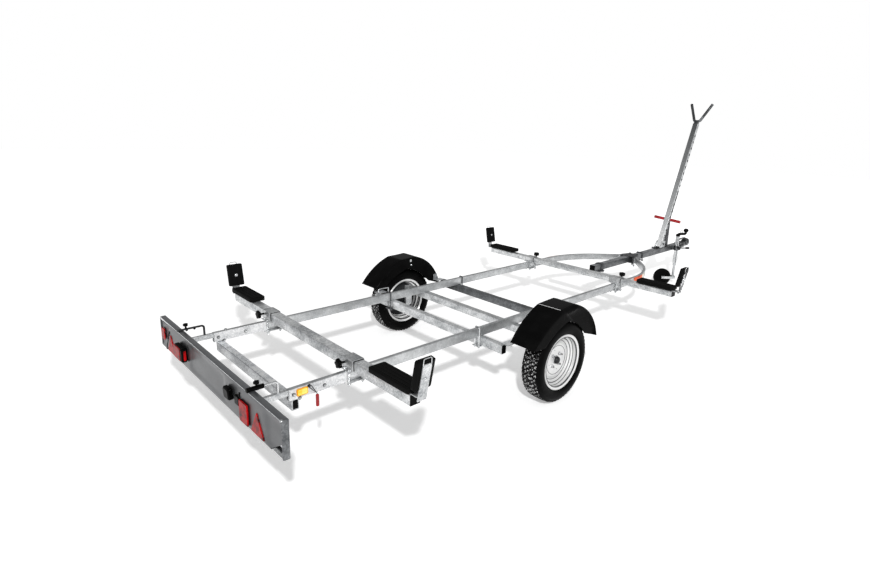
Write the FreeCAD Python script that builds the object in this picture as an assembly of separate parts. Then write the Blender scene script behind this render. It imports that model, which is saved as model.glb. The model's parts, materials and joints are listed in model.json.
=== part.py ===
import FreeCAD
import Part
import math
import os
from FreeCAD import Vector

# Single-axle boat trailer, millimetres. +Y points to the coupling, +X to the right-hand
# side, +Z up. The floor is z = 0. Positions along the trailer (names ending in Y) are
# measured from the wheel axis and moved by shiftY at export, so that the origin is the
# centre of the trailer's footprint.

# --- driving dimensions -------------------------------------------------------------
wheelRadius = 273.5
wheelCentreX = 815.0
railX = 468.5
railWidth = 25.0
tubeHeight = 60.0
tubeWall = 2.5
railTopZ = 482.0
railBottomZ = railTopZ - tubeHeight
railRearY = -1675.0
bendStartY = 1630.0
bendRadius = 850.0
bendAngle = 40.0
frontReflectorAngle = 15.5

drawbarHalf = 30.0
drawbarWall = 3.0
drawbarRearY = 1700.0
drawbarFrontY = 3640.0

crossDepth = 40.0
crossTopZ = railBottomZ
crossBottomZ = crossTopZ - tubeHeight
capThickness = 4.0

guardInnerX = 706.0
guardWidth = 201.0
guardSkin = 4.0

clampHalf = 48.0
clampSheet = 5.0

axleY = -10.0
axleSize = 50.0
axleHalfLength = 704.0
stubRadius = 15.0
stubEndX = 826.0
discFace = 9.0

beamHalfLength = 972.0
beamDepth = 60.0
beamBottomZ = railTopZ
beamTopZ = beamBottomZ + 46.0
beamRearY = -1308.0
beamFrontY = 1338.0

padLean = 11.0
padFootX = 986.0

boardHalf = 797.0
boardRearY = -1862.0
boardDepth = 30.0
boardBottomZ = 349.0
boardTopZ = 532.0
boardSheet = 3.0
lampDepth = 33.0

mastFootY = 3085.0
mastLean = 22.3
mastLength = 1500.0
mastWide = 60.0
mastDeep = 40.0
handleTilt = 4.5

jockeyX = 76.0
jockeyY = 3385.0
jockeyTubeRadius = 17.5
jockeyWheelRadius = 100.0
jockeyTrail = 128.0
jockeyTurn = 225.0

couplingBallY = 3805.0
couplingNoseY = 3860.0

shiftY = -(couplingNoseY + boardRearY - lampDepth) / 2.0


# --- helpers ------------------------------------------------------------------------
def block(x0, x1, y0, y1, z0, z1):
    return Part.makeBox(x1 - x0, y1 - y0, z1 - z0, Vector(x0, y0, z0))


def rod(radius, start, end):
    a = Vector(*start)
    b = Vector(*end)
    return Part.makeCylinder(radius, (b - a).Length, a, b - a)


def bentRod(radius, points):
    # straight runs with a ball at each corner
    shape = rod(radius, points[0], points[1])
    for i in range(1, len(points) - 1):
        shape = shape.fuse(Part.makeSphere(radius, Vector(*points[i])))
        shape = shape.fuse(rod(radius, points[i], points[i + 1]))
    return shape.removeSplitter()


def joined(shapes):
    result = shapes[0]
    for shape in shapes[1:]:
        result = result.fuse(shape)
    return result.removeSplitter()


def mirrored(shape):
    return shape.mirror(Vector(0, 0, 0), Vector(1, 0, 0))


def bothSides(shape):
    return Part.makeCompound([shape, mirrored(shape)])


def turned(profile, axisPoint):
    # closed profile of (x, r) points, turned about the line along X through axisPoint
    points = [Vector(x, 0, r) for x, r in profile]
    points.append(points[0])
    face = Part.Face(Part.makePolygon(points))
    solid = face.revolve(Vector(0, 0, 0), Vector(1, 0, 0), 360)
    solid.translate(Vector(*axisPoint))
    return solid


def export(node, shape):
    placed = shape.copy()
    placed.translate(Vector(0, shiftY, 0))
    placed.exportStep("parts/" + node + ".step")


# --- main frame ---------------------------------------------------------------------
def railPlan(inset, rearY, stopX):
    # plan of the bent rail, shrunk by inset: straight, arc, straight up to stopX
    half = railWidth / 2.0 - inset
    a = math.radians(bendAngle)
    centreX = railX - bendRadius
    outer = bendRadius + half
    inner = bendRadius - half

    def onArc(radius, angle):
        return Vector(centreX + radius * math.cos(angle), bendStartY + radius * math.sin(angle), 0)

    def onRun(start):
        run = (start.x - stopX) / math.sin(a)
        return Vector(stopX, start.y + run * math.cos(a), 0)

    outerEnd = onArc(outer, a)
    innerEnd = onArc(inner, a)
    p = [Vector(centreX + outer, rearY, 0), onArc(outer, 0), outerEnd, onRun(outerEnd),
         onRun(innerEnd), innerEnd, onArc(inner, 0), Vector(centreX + inner, rearY, 0)]
    edges = [Part.LineSegment(p[0], p[1]).toShape(),
             Part.Arc(p[1], onArc(outer, a / 2), p[2]).toShape(),
             Part.LineSegment(p[2], p[3]).toShape(),
             Part.LineSegment(p[3], p[4]).toShape(),
             Part.LineSegment(p[4], p[5]).toShape(),
             Part.Arc(p[5], onArc(inner, a / 2), p[6]).toShape(),
             Part.LineSegment(p[6], p[7]).toShape(),
             Part.LineSegment(p[7], p[0]).toShape()]
    return Part.Face(Part.Wire(edges))


def rail():
    solid = railPlan(0, railRearY, drawbarHalf).extrude(Vector(0, 0, tubeHeight))
    hollow = railPlan(tubeWall, railRearY - 10, drawbarHalf + 12)
    hollow = hollow.extrude(Vector(0, 0, tubeHeight - 2 * tubeWall))
    hollow.translate(Vector(0, 0, tubeWall))
    solid = solid.cut(hollow)
    solid.translate(Vector(0, 0, railBottomZ))
    return solid


def tubeAcross(halfLength, centreY, depth, z0, z1, wall):
    outer = block(-halfLength, halfLength, centreY - depth / 2, centreY + depth / 2, z0, z1)
    inner = block(-halfLength - 1, halfLength + 1, centreY - depth / 2 + wall,
                  centreY + depth / 2 - wall, z0 + wall, z1 - wall)
    return outer.cut(inner)


def drawbar():
    h = drawbarHalf
    w = drawbarWall
    outer = block(-h, h, drawbarRearY, drawbarFrontY, railBottomZ, railTopZ)
    inner = block(-h + w, h - w, drawbarRearY - 1, drawbarFrontY + 1, railBottomZ + w, railTopZ - w)
    return outer.cut(inner)


def apexPlates():
    # two gusset plates, one over and one under the joint of rails and drawbar
    outline = [(-80, 2360), (80, 2360), (80, 2420), (52, 2516), (-52, 2516), (-80, 2420)]
    points = [Vector(x, y, 0) for x, y in outline]
    points.append(points[0])
    plate = Part.Face(Part.makePolygon(points)).extrude(Vector(0, 0, 6))
    plates = []
    for z in (railTopZ, railBottomZ - 6):
        copy = plate.copy()
        copy.translate(Vector(0, 0, z))
        plates.append(copy)
    bolts = []
    for x, y in ((-62, 2374), (62, 2374), (-42, 2502), (42, 2502)):
        bolts.append(rod(5, (x, y, railBottomZ - 30), (x, y, railTopZ + 10)))
    return joined(plates + bolts)


# crossmembers: name, half length, centre along the trailer
crossmembers = (("crossmember_rear", 470.0, -1638.0),
                ("crossmember_behind_axle", 673.0, -350.0),
                ("crossmember_ahead_of_axle", 673.0, 350.0),
                ("crossmember_front", 452.0, 1724.0))


def axleBeam():
    s = axleSize / 2
    top = crossTopZ
    beam = block(-axleHalfLength, axleHalfLength, axleY - s, axleY + s, top - axleSize, top)
    arm = block(axleHalfLength, axleHalfLength + 20, -30, 30, wheelRadius, top - 4)
    arm = arm.fuse(rod(30, (axleHalfLength, 0, wheelRadius), (axleHalfLength + 20, 0, wheelRadius)))
    stub = rod(stubRadius, (axleHalfLength + 20, 0, wheelRadius), (stubEndX, 0, wheelRadius))
    side = joined([arm, stub])
    return joined([beam, side, mirrored(side)])


# columns: name, U-bolt's centre y, plate's far edge under the member, member's underside z
uBoltTable = (("member behind axle", -379, -340, crossBottomZ),
              ("member ahead of axle", 379, 340, crossBottomZ))


def uBolts():
    # U-bolts over each rail beside its crossmembers, each with a clamp plate under the member
    shapes = []
    half = railWidth / 2 + 5.3
    for name, centreY, farY, underZ in uBoltTable:
        outerY = centreY - 9 if centreY < farY else centreY + 9
        for side in (-1, 1):
            x = side * railX
            top = railTopZ + 5
            low = underZ - 16
            u = bentRod(5, [(x - half, centreY, low), (x - half, centreY, top),
                            (x + half, centreY, top), (x + half, centreY, low)])
            nuts = [rod(8, (x + s * half, centreY, low + 2), (x + s * half, centreY, low + 11))
                    for s in (-1, 1)]
            plate = block(x - 30, x + 30, min(outerY, farY), max(outerY, farY), underZ - 5, underZ)
            shapes.append(joined([u, plate] + nuts))
    return Part.makeCompound(shapes)


def drawbarUBolts():
    # wide saddle ahead of the front crossmember, on a plate that reaches back to the member,
    # and a U-bolt ahead of the gusset plates
    h = drawbarHalf
    saddle = block(-h - 5, h + 5, 1804, 1852, railBottomZ - 18, railTopZ + 5)
    saddle = saddle.cut(block(-h - 0.3, h + 0.3, 1800, 1860, 400, railTopZ + 0.3))
    under = block(-48, 48, crossmembers[3][2] + crossDepth / 2, 1852, railBottomZ - 6, railBottomZ)
    low = railBottomZ - 22
    y = 2640
    half = h + 5.3
    u = bentRod(5, [(-half, y, low), (-half, y, railTopZ + 5), (half, y, railTopZ + 5), (half, y, low)])
    plate = block(-48, 48, y - 14, y + 14, low + 4, low + 10)
    return Part.makeCompound([joined([saddle, under]), joined([u, plate])])


def endCaps():
    t = capThickness
    caps = []
    for name, half, centreY in crossmembers[:3]:
        cap = block(half, half + t, centreY - 20, centreY + 20, crossBottomZ, crossTopZ)
        caps.append(cap)
        caps.append(mirrored(cap))
    for centreY in (beamRearY, beamFrontY):
        cap = block(beamHalfLength, beamHalfLength + t, centreY - 30, centreY + 30,
                    beamBottomZ, beamTopZ)
        caps.append(cap)
        caps.append(mirrored(cap))
    h = drawbarHalf
    caps.append(block(-h, h, drawbarRearY - t, drawbarRearY, railBottomZ, railTopZ))
    return Part.makeCompound(caps)


# --- supports for the hull ----------------------------------------------------------
def beamClamps():
    # at each crossing of beam and rail: a strap over the beam with feet, two plates beside the
    # rail, a plate under it and four bolts
    shapes = []
    half = beamDepth / 2 + 0.8
    t = clampSheet
    for centreY in (beamRearY, beamFrontY):
        for side in (-1, 1):
            x = side * railX
            w = clampHalf
            strap = block(x - w, x + w, centreY - half - t, centreY + half + t, railTopZ, beamTopZ + 0.8 + t)
            strap = strap.cut(block(x - w - 1, x + w + 1, centreY - half, centreY + half,
                                    railTopZ - 1, beamTopZ + 0.8))
            feet = block(x - w, x + w, centreY - half - 20, centreY + half + 20, railTopZ, railTopZ + t)
            feet = feet.cut(block(x - w - 1, x + w + 1, centreY - half, centreY + half,
                                  railTopZ - 1, beamTopZ))
            under = block(x - 34, x + 34, centreY - 46, centreY + 46, railBottomZ - 5, railBottomZ)
            parts = [strap, feet, under]
            for sx in (-1, 1):
                face = x + sx * (railWidth / 2 + 0.3)
                parts.append(block(min(face, face + sx * 4), max(face, face + sx * 4), centreY - 36,
                                   centreY + 36, railTopZ - 42, railTopZ))
                for sy in (-1, 1):
                    bx = x + sx * 22
                    by = centreY + sy * 41
                    parts.append(rod(5, (bx, by, railBottomZ - 22), (bx, by, railTopZ + 14)))
            shapes.append(joined(parts))
    return Part.makeCompound(shapes)


# star knobs of the beam clamps: x, along, z, axis, stem length, head radius
knobTable = ((-508, beamRearY - 35.8, 508, (0, -1, 0), 28, 20),
             (440, beamRearY - 35.8, 508, (0, -1, 0), 28, 20),
             (-railX + 13, beamFrontY + 60, railTopZ, (0, 0, 1), 53, 20),
             (railX + 13, beamFrontY + 60, railTopZ, (0, 0, 1), 53, 20))


def clampKnobs():
    shapes = []
    for x, y, z, axis, stemLength, headRadius in knobTable:
        a = Vector(*axis)
        p = Vector(x, y, z)
        stem = Part.makeCylinder(6, stemLength, p, a)
        head = Part.makeCylinder(headRadius, 20, p + a * (stemLength - 2), a)
        shapes.append(stem.fuse(head).removeSplitter())
    return Part.makeCompound(shapes)


def leaning(shape):
    shape.rotate(Vector(0, 0, 0), Vector(0, 1, 0), padLean)
    shape.translate(Vector(padFootX, 0, 540))
    return shape


def padBracket(centreY):
    # angle bracket: a flat leg on the beam and a leaning leg behind the upright pad
    flat = block(706, 1019, centreY - 26, centreY + 26, beamTopZ, beamTopZ + 6)
    tall = leaning(block(31, 37, centreY - 26, centreY + 26, -30, 182))
    tall = tall.cut(block(900, 1200, centreY - 60, centreY + 60, 400, beamTopZ + 0.5))
    return joined([flat, tall])


def bunkPad(centreY):
    return block(672, 978, centreY - 50, centreY + 50, beamTopZ + 8, beamTopZ + 38)


def sidePad(centreY):
    return leaning(block(0, 30, centreY - 50, centreY + 50, 44, 196))


# --- mudguards ----------------------------------------------------------------------
def guardFace(x, inset):
    # side outline: curved rear, flat top between two creases, curved front, arch over the tyre
    i = inset
    rearFoot = Vector(x, -335 + i, 446)
    rearCrease = Vector(x, -80, 648 - i)
    frontCrease = Vector(x, 78, 655 - i)
    frontFoot = Vector(x, 343 - i, 382)
    if inset:
        low = [Vector(x, 343 - i, 300), Vector(x, -335 + i, 300)]
        bottom = [Part.LineSegment(frontFoot, low[0]).toShape(),
                  Part.LineSegment(low[0], low[1]).toShape(),
                  Part.LineSegment(low[1], rearFoot).toShape()]
    else:
        archRear = Vector(x, -240, 446)
        archTop = Vector(x, -15, 567)
        archFront = Vector(x, 212, 426)
        bottom = [Part.LineSegment(frontFoot, archFront).toShape(),
                  Part.Arc(archFront, Vector(x, 110, 517), archTop).toShape(),
                  Part.Arc(archTop, Vector(x, -143, 515), archRear).toShape(),
                  Part.LineSegment(archRear, rearFoot).toShape()]
    edges = [Part.Arc(rearFoot, Vector(x, -222 + 0.7 * i, 568 - 0.7 * i), rearCrease).toShape(),
             Part.LineSegment(rearCrease, frontCrease).toShape(),
             Part.Arc(frontCrease, Vector(x, 240 - 0.7 * i, 566 - 0.7 * i), frontFoot).toShape()]
    return Part.Face(Part.Wire(edges + bottom))


def mudguard():
    outer = guardFace(guardInnerX, 0).extrude(Vector(guardWidth, 0, 0))
    inner = guardFace(guardInnerX + guardSkin, guardSkin)
    inner = inner.extrude(Vector(guardWidth - 2 * guardSkin, 0, 0))
    return outer.cut(inner)


def guardStays():
    # brackets from the crossmembers' ends to each mudguard's inner skirt
    shapes = []
    for y0, y1, tabY0, tabY1 in ((-352, -270, -312, -270), (270, 352, 270, 312)):
        foot = block(648, guardInnerX, y0, y1, crossTopZ, crossTopZ + 5)
        tab = block(guardInnerX - 4, guardInnerX, tabY0, tabY1, crossTopZ, crossTopZ + 58)
        shapes.append(joined([foot, tab]))
    return Part.makeCompound(shapes + [mirrored(s) for s in shapes])


# --- wheels -------------------------------------------------------------------------
def rimShape():
    # pressed steel rim and disc as one turned section, then four bolt holes
    c = wheelCentreX
    section = [(c - 58, 166), (c - 62, 184), (c - 59, 184), (c - 55, 169),
               (c - 26, 169), (c - 22, 152), (c + 14, 152), (c + 22, 169),
               (c + 55, 169), (c + 59, 184), (c + 62, 184), (c + 58, 166),
               (c + 25, 166), (c + 17, 149), (c + 14, 143), (c + 7, 137), (c + 6, 128),
               (c + 12, 112), (c + 13, 102), (c + discFace, 92), (c + discFace, 29),
               (c + discFace - 4, 29), (c + discFace - 4, 93), (c + 9, 102), (c + 8, 111),
               (c + 2, 127), (c + 3, 139), (c + 10, 145), (c + 10, 149), (c - 24, 149),
               (c - 29, 166)]
    return turned(section, (0, 0, wheelRadius))


def tyreShape():
    # casing on the bead seats, arced sidewalls and a slightly crowned tread
    c = wheelCentreX
    r = wheelRadius

    def p(x, radius):
        return Vector(c + x, 0, radius)

    edges = [Part.LineSegment(p(-52, 169.5), p(52, 169.5)).toShape(),
             Part.LineSegment(p(52, 169.5), p(56, 186)).toShape(),
             Part.Arc(p(56, 186), p(76, 222), p(66, 258)).toShape(),
             Part.Arc(p(66, 258), p(62, 264), p(55, 268.5)).toShape(),
             Part.Arc(p(55, 268.5), p(0, r), p(-55, 268.5)).toShape(),
             Part.Arc(p(-55, 268.5), p(-62, 264), p(-66, 258)).toShape(),
             Part.Arc(p(-66, 258), p(-76, 222), p(-56, 186)).toShape(),
             Part.LineSegment(p(-56, 186), p(-52, 169.5)).toShape()]
    solid = Part.Face(Part.Wire(edges)).revolve(Vector(0, 0, 0), Vector(1, 0, 0), 360)
    solid.translate(Vector(0, 0, r))
    return solid


def hubShape():
    # hub with a flange behind the disc, four studs with nuts and a grease cap
    c = wheelCentreX
    face = c + discFace - 4
    section = [(740, stubRadius + 0.05), (740, 34), (face - 12, 34), (face - 12, 66),
               (face - 0.2, 66), (face - 0.2, 28.5), (face + 20, 28.5), (face + 26, 22),
               (face + 26, 0), (stubEndX + 0.5, 0), (stubEndX + 0.5, stubRadius + 0.05)]
    hub = turned(section, (0, 0, wheelRadius))
    nuts = []
    for k in range(4):
        a = math.radians(45 + 90 * k)
        y = 50 * math.sin(a)
        z = wheelRadius + 50 * math.cos(a)
        nuts.append(rod(9, (face + 4.1, y, z), (face + 17, y, z)))
        nuts.append(rod(5.8, (face - 6, y, z), (face + 22, y, z)))
    return joined([hub] + nuts)


def boltHoles(rim):
    for k in range(4):
        a = math.radians(45 + 90 * k)
        y = 50 * math.sin(a)
        z = wheelRadius + 50 * math.cos(a)
        rim = rim.cut(rod(6.2, (wheelCentreX - 5, y, z), (wheelCentreX + 25, y, z)))
    return rim


# --- light board --------------------------------------------------------------------
def lightBoard():
    # folded sheet: upright web at the rear, flanges and small lips towards the front
    y0 = boardRearY
    y1 = y0 + boardDepth
    s = boardSheet
    web = block(-boardHalf, boardHalf, y0, y0 + s, boardBottomZ, boardTopZ)
    top = block(-boardHalf, boardHalf, y0, y1, boardTopZ - s, boardTopZ)
    low = block(-boardHalf, boardHalf, y0, y1, boardBottomZ, boardBottomZ + s)
    lip = block(-boardHalf, boardHalf, y1 - s, y1, boardTopZ - 14, boardTopZ)
    lipLow = block(-boardHalf, boardHalf, y1 - s, y1, boardBottomZ, boardBottomZ + 14)
    end = block(boardHalf - s, boardHalf, y0, y1, boardBottomZ, boardTopZ)
    return joined([web, top, low, lip, lipLow, end, mirrored(end)])


def extensionTube():
    half = railWidth / 2 - tubeWall - 0.6
    top = railTopZ - tubeWall - 0.6
    outer = block(railX - half, railX + half, boardRearY + boardSheet, -1150, top - 28, top)
    inner = block(railX - half + 2, railX + half - 2, boardRearY + boardSheet + 4, -1140,
                  top - 26, top - 2)
    return outer.cut(inner)


def boardRod():
    # bent rod from the extension tube up and back over the top of the board
    top = railTopZ - tubeWall - 0.6
    return bentRod(6, [(railX, -1722, top), (railX, -1722, boardTopZ + 7),
                       (railX, boardRearY - 6, boardTopZ + 7)])


def boardKnob():
    y = boardRearY + 42
    stem = rod(5, (railX, y, boardTopZ + 13.2), (railX, y, boardTopZ + 26))
    return stem.fuse(rod(14, (railX, y, boardTopZ + 24), (railX, y, boardTopZ + 41)))


# lamps on the rear face of the board: centre x, width, bottom z, height, depth
lampTable = ((-385.0, 130.0, 402.0, 85.0, lampDepth), (431.0, 102.0, 364.0, 108.0, 12.0))
triangleTable = ((-607.0, 358.0), (562.0, 358.0))
triangleSide = 132.0


def tailLamps():
    shapes = []
    for x, width, z, height, depth in lampTable:
        shapes.append(block(x - width / 2, x + width / 2, boardRearY - depth, boardRearY,
                            z, z + height))
    return Part.makeCompound(shapes)


def warningTriangles():
    # a triangle near each end of the board and a square marker at the left-hand end
    shapes = []
    for x, z in triangleTable:
        h = triangleSide * math.sqrt(3) / 2
        points = [Vector(x - triangleSide / 2, boardRearY, z), Vector(x + triangleSide / 2, boardRearY, z),
                  Vector(x, boardRearY, z + h)]
        points.append(points[0])
        shapes.append(Part.Face(Part.makePolygon(points)).extrude(Vector(0, -6, 0)))
    shapes.append(block(-774, -696, boardRearY - 6, boardRearY, 402, 484))
    return Part.makeCompound(shapes)


def plateLamp():
    x = 268.0
    return block(x - 32, x + 32, boardRearY - 26, boardRearY, 424, 484)


# --- small fittings -----------------------------------------------------------------
def reflectors():
    # rear pair on the rails' outer faces, front pair of curved strips on the outside of the bends
    x = railX + railWidth / 2
    rear = block(x, x + 10, -1632, -1572, 433, 472)
    centre = Vector(railX - bendRadius, bendStartY, 442)
    inner = bendRadius + railWidth / 2 + 0.5
    up = Vector(0, 0, 1)
    front = Part.makeCylinder(inner + 9, 38, centre, up, frontReflectorAngle)
    front = front.cut(Part.makeCylinder(inner, 38, centre, up, 360))
    return Part.makeCompound([rear, front, mirrored(rear), mirrored(front)])


def slideLever():
    # lock of the extension tube on the right-hand rail's outer side, with a hanging grip
    x = railX + railWidth / 2
    boss = rod(11, (x, -1535, 452), (x + 12, -1535, 452))
    arm = rod(3.5, (x + 15, -1535, 452), (x + 15, -1535, 420))
    grip = rod(8, (x + 15, -1535, 356), (x + 15, -1535, 422))
    plug = rod(6, (x + 10, -1535, 452), (x + 19, -1535, 452))
    return joined([boss, plug, arm, grip])


# --- mast support -------------------------------------------------------------------
def tilted(shape):
    # from upright on the drawbar's top to the mast's lean
    shape.rotate(Vector(0, 0, 0), Vector(1, 0, 0), -mastLean)
    shape.translate(Vector(0, mastFootY, railTopZ + 8))
    return shape


def mastPost():
    w = mastWide / 2
    d = mastDeep / 2
    outer = block(-w, w, -d, d, -5, mastLength)
    inner = block(-w + 3, w - 3, -d + 3, d - 3, -10, mastLength + 5)
    post = tilted(outer.cut(inner))
    return post.cut(block(-200, 200, 2900, 3300, 300, railTopZ + 6.2))


def mastFoot():
    # base plate with two cheeks beside the post, and the strut under the lean
    base = block(-46, 46, 2990, 3290, railTopZ, railTopZ + 6)
    cheekPoints = [(3030, railTopZ + 5), (3150, railTopZ + 5), (3166, railTopZ + 68),
                   (3150, railTopZ + 80), (3086, railTopZ + 80)]
    cheeks = []
    for x in (mastWide / 2 + 0.3, -mastWide / 2 - 5.3):
        points = [Vector(x, y, z) for y, z in cheekPoints]
        points.append(points[0])
        cheeks.append(Part.Face(Part.makePolygon(points)).extrude(Vector(5, 0, 0)))
    w = 20
    strut = block(-w, w, 3222, 3262, railTopZ + 5, railTopZ + 380)
    strut = strut.cut(block(-w + 3, w - 3, 3225, 3259, railTopZ + 8, railTopZ + 500))
    above = tilted(block(-60, 60, -400, mastDeep / 2 + 0.3, -100, mastLength))
    strut = strut.cut(above)
    return joined([base] + cheeks + [strut])


def handleBar():
    # cross handle through the post, higher at its left-hand end: steel bar, two grips, and
    # the hole that it needs in the post
    along = 336.0
    y = mastFootY + along * math.sin(math.radians(mastLean))
    z = railTopZ + 8 + along * math.cos(math.radians(mastLean))
    fall = math.tan(math.radians(handleTilt))

    def at(x):
        return x, y, z - x * fall

    bar = rod(5, at(-146), at(146))
    grips = [rod(12.5, at(s * 42), at(s * 154)) for s in (-1, 1)]
    return joined([bar] + grips), rod(5.3, at(-60), at(60))


def mastFork():
    # stem in the post and a Y of round tube
    stem = block(-mastWide / 2 + 3.6, mastWide / 2 - 3.6, -mastDeep / 2 + 3.6,
                 mastDeep / 2 - 3.6, mastLength - 460, mastLength + 22)
    yoke = bentRod(12, [(-118, 0, mastLength + 226), (-30, 0, mastLength + 26),
                        (30, 0, mastLength + 26), (118, 0, mastLength + 226)])
    return tilted(joined([stem, yoke]))


# --- coupling and jockey wheel -------------------------------------------------------
def couplingHead():
    h = drawbarHalf + 0.3
    t = 5
    sleeve = block(-h - t, h + t, 3560, 3700, railBottomZ - 3, railTopZ + 5)
    sleeve = sleeve.cut(block(-h, h, 3550, drawbarFrontY + 3, railBottomZ - 10, railTopZ + 0.3))
    head = Part.makeCylinder(42, 62, Vector(0, couplingBallY, 424))
    nose = block(-30, 30, 3690, couplingNoseY - 16, 424, 480)
    front = rod(24, (0, couplingNoseY - 24, 428), (0, couplingNoseY - 24, 470))
    crown = Part.makeSphere(42, Vector(0, couplingBallY, 474))
    crown = crown.cut(block(-60, 60, 3700, 3900, 380, 486))
    body = joined([sleeve, head, nose, front, crown])
    socket = Part.makeCylinder(25.3, 40, Vector(0, couplingBallY, 410))
    socket = socket.fuse(Part.makeSphere(25.3, Vector(0, couplingBallY, 450)))
    return body.cut(socket)


def couplingLever():
    arm = block(-9, 9, 3600, 3790, 518, 526)
    post = block(-12, 12, 3762, 3790, 505, 520)
    post = post.cut(Part.makeSphere(42.2, Vector(0, couplingBallY, 474)))
    grip = rod(11, (0, 3560, 522), (0, 3640, 522))
    return joined([arm, post, grip])


def jockeyClamp():
    # split collar round the outer tube, bolted to the drawbar's right-hand face
    collar = Part.makeCylinder(jockeyTubeRadius + 10, 50, Vector(jockeyX, jockeyY, 430))
    pad = block(drawbarHalf, jockeyX, jockeyY - 34, jockeyY + 34, 430, 480)
    body = joined([collar, pad])
    bore = Part.makeCylinder(jockeyTubeRadius + 0.35, 80, Vector(jockeyX, jockeyY, 420))
    slot = block(jockeyX + 12, jockeyX + 60, jockeyY - 2.5, jockeyY + 2.5, 420, 490)
    handle = rod(4, (jockeyX + 22, jockeyY + 14, 454), (jockeyX + 112, jockeyY + 14, 472))
    grip = rod(8, (jockeyX + 100, jockeyY + 14, 469.5), (jockeyX + 140, jockeyY + 14, 477.5))
    return joined([body.cut(bore).cut(slot), handle, grip])


def jockeyOuter():
    tube = Part.makeCylinder(jockeyTubeRadius, 350, Vector(jockeyX, jockeyY, 245))
    bore = Part.makeCylinder(jockeyTubeRadius - 3, 340, Vector(jockeyX, jockeyY, 240))
    return tube.cut(bore)


def jockeyCrank():
    # cap, crank arm and knob
    cap = Part.makeCylinder(20, 16, Vector(jockeyX, jockeyY, 595.2))
    arm = bentRod(8, [(jockeyX, jockeyY, 611), (jockeyX, jockeyY, 622),
                      (jockeyX + 62, jockeyY + 62, 622), (jockeyX + 62, jockeyY + 62, 660)])
    knob = Part.makeSphere(22, Vector(jockeyX + 62, jockeyY + 62, 666))
    return joined([cap, arm, knob])


def jockeyInner():
    return Part.makeCylinder(jockeyTubeRadius - 3.3, 322, Vector(jockeyX, jockeyY, 120.3))


def trailing(shape):
    # from the drawing pose, trail along +X from the tube's axis, to the parked pose
    shape.rotate(Vector(0, 0, 0), Vector(0, 0, 1), jockeyTurn)
    shape.translate(Vector(jockeyX, jockeyY, 0))
    return shape


def jockeyFork():
    r = jockeyWheelRadius
    hub = Part.makeCylinder(24, 40, Vector(0, 0, 80))
    bridge = block(-24, 20, -38, 38, 82, 118)
    cheeks = [block(-10, jockeyTrail + 18, y, y + 5, 84, 116) for y in (33, -38)]
    axle = rod(8, (jockeyTrail, -44, r), (jockeyTrail, 44, r))
    return trailing(joined([hub, bridge] + cheeks + [axle]))


def jockeyWheel():
    r = jockeyWheelRadius
    wheel = Part.makeCylinder(r, 50, Vector(jockeyTrail, -25, r), Vector(0, 1, 0))
    boss = Part.makeCylinder(26, 62, Vector(jockeyTrail, -31, r), Vector(0, 1, 0))
    bore = Part.makeCylinder(8.05, 80, Vector(jockeyTrail, -40, r), Vector(0, 1, 0))
    return trailing(wheel.fuse(boss).cut(bore))


def main():
    os.makedirs("parts", exist_ok=True)
    right = rail()
    export("rail_right", right)
    export("rail_left", mirrored(right))
    export("drawbar", drawbar())
    export("apex_plates", apexPlates())
    for name, half, centreY in crossmembers:
        export(name, tubeAcross(half, centreY, crossDepth, crossBottomZ, crossTopZ, tubeWall))
    export("axle", axleBeam())
    export("u_bolts", uBolts())
    export("drawbar_u_bolts", drawbarUBolts())
    export("end_caps", endCaps())

    ends = (("rear", beamRearY), ("front", beamFrontY))
    for end, centreY in ends:
        export("beam_" + end, tubeAcross(beamHalfLength, centreY, beamDepth, beamBottomZ,
                                         beamTopZ, drawbarWall))
    export("beam_clamps", beamClamps())
    export("clamp_knobs", clampKnobs())
    brackets = []
    for end, centreY in ends:
        bracket = padBracket(centreY)
        brackets += [bracket, mirrored(bracket)]
        flatPad = bunkPad(centreY)
        uprightPad = sidePad(centreY)
        export("flat_pad_" + end + "_right", flatPad)
        export("flat_pad_" + end + "_left", mirrored(flatPad))
        export("side_pad_" + end + "_right", uprightPad)
        export("side_pad_" + end + "_left", mirrored(uprightPad))
    export("pad_brackets", Part.makeCompound(brackets))

    guard = mudguard()
    rim = boltHoles(rimShape())
    tyre = tyreShape()
    hub = hubShape()
    for node, shape in (("mudguard", guard), ("rim", rim), ("tyre", tyre), ("hub", hub)):
        export(node + "_right", shape)
        export(node + "_left", mirrored(shape))
    export("mudguard_stays", guardStays())

    export("light_board", lightBoard())
    export("extension_tubes", bothSides(extensionTube()))
    export("board_rods", bothSides(boardRod()))
    export("board_knobs", bothSides(boardKnob()))
    export("tail_lamps", tailLamps())
    export("warning_triangles", warningTriangles())
    export("number_plate_lamp", plateLamp())
    export("side_reflectors", reflectors())
    export("slide_lever", slideLever())

    handle, hole = handleBar()
    export("mast_post", mastPost().cut(hole))
    export("mast_foot", mastFoot())
    export("mast_handle", handle)
    export("mast_fork", mastFork())

    export("coupling_head", couplingHead())
    export("coupling_lever", couplingLever())
    export("jockey_clamp", jockeyClamp())
    export("jockey_outer_tube", jockeyOuter())
    export("jockey_crank", jockeyCrank())
    export("jockey_inner_tube", jockeyInner())
    export("jockey_fork", jockeyFork())
    export("jockey_wheel", jockeyWheel())


main()
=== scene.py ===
import json
import math
import bmesh
import bpy
import numpy as np
from mathutils import Matrix, Vector


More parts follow.
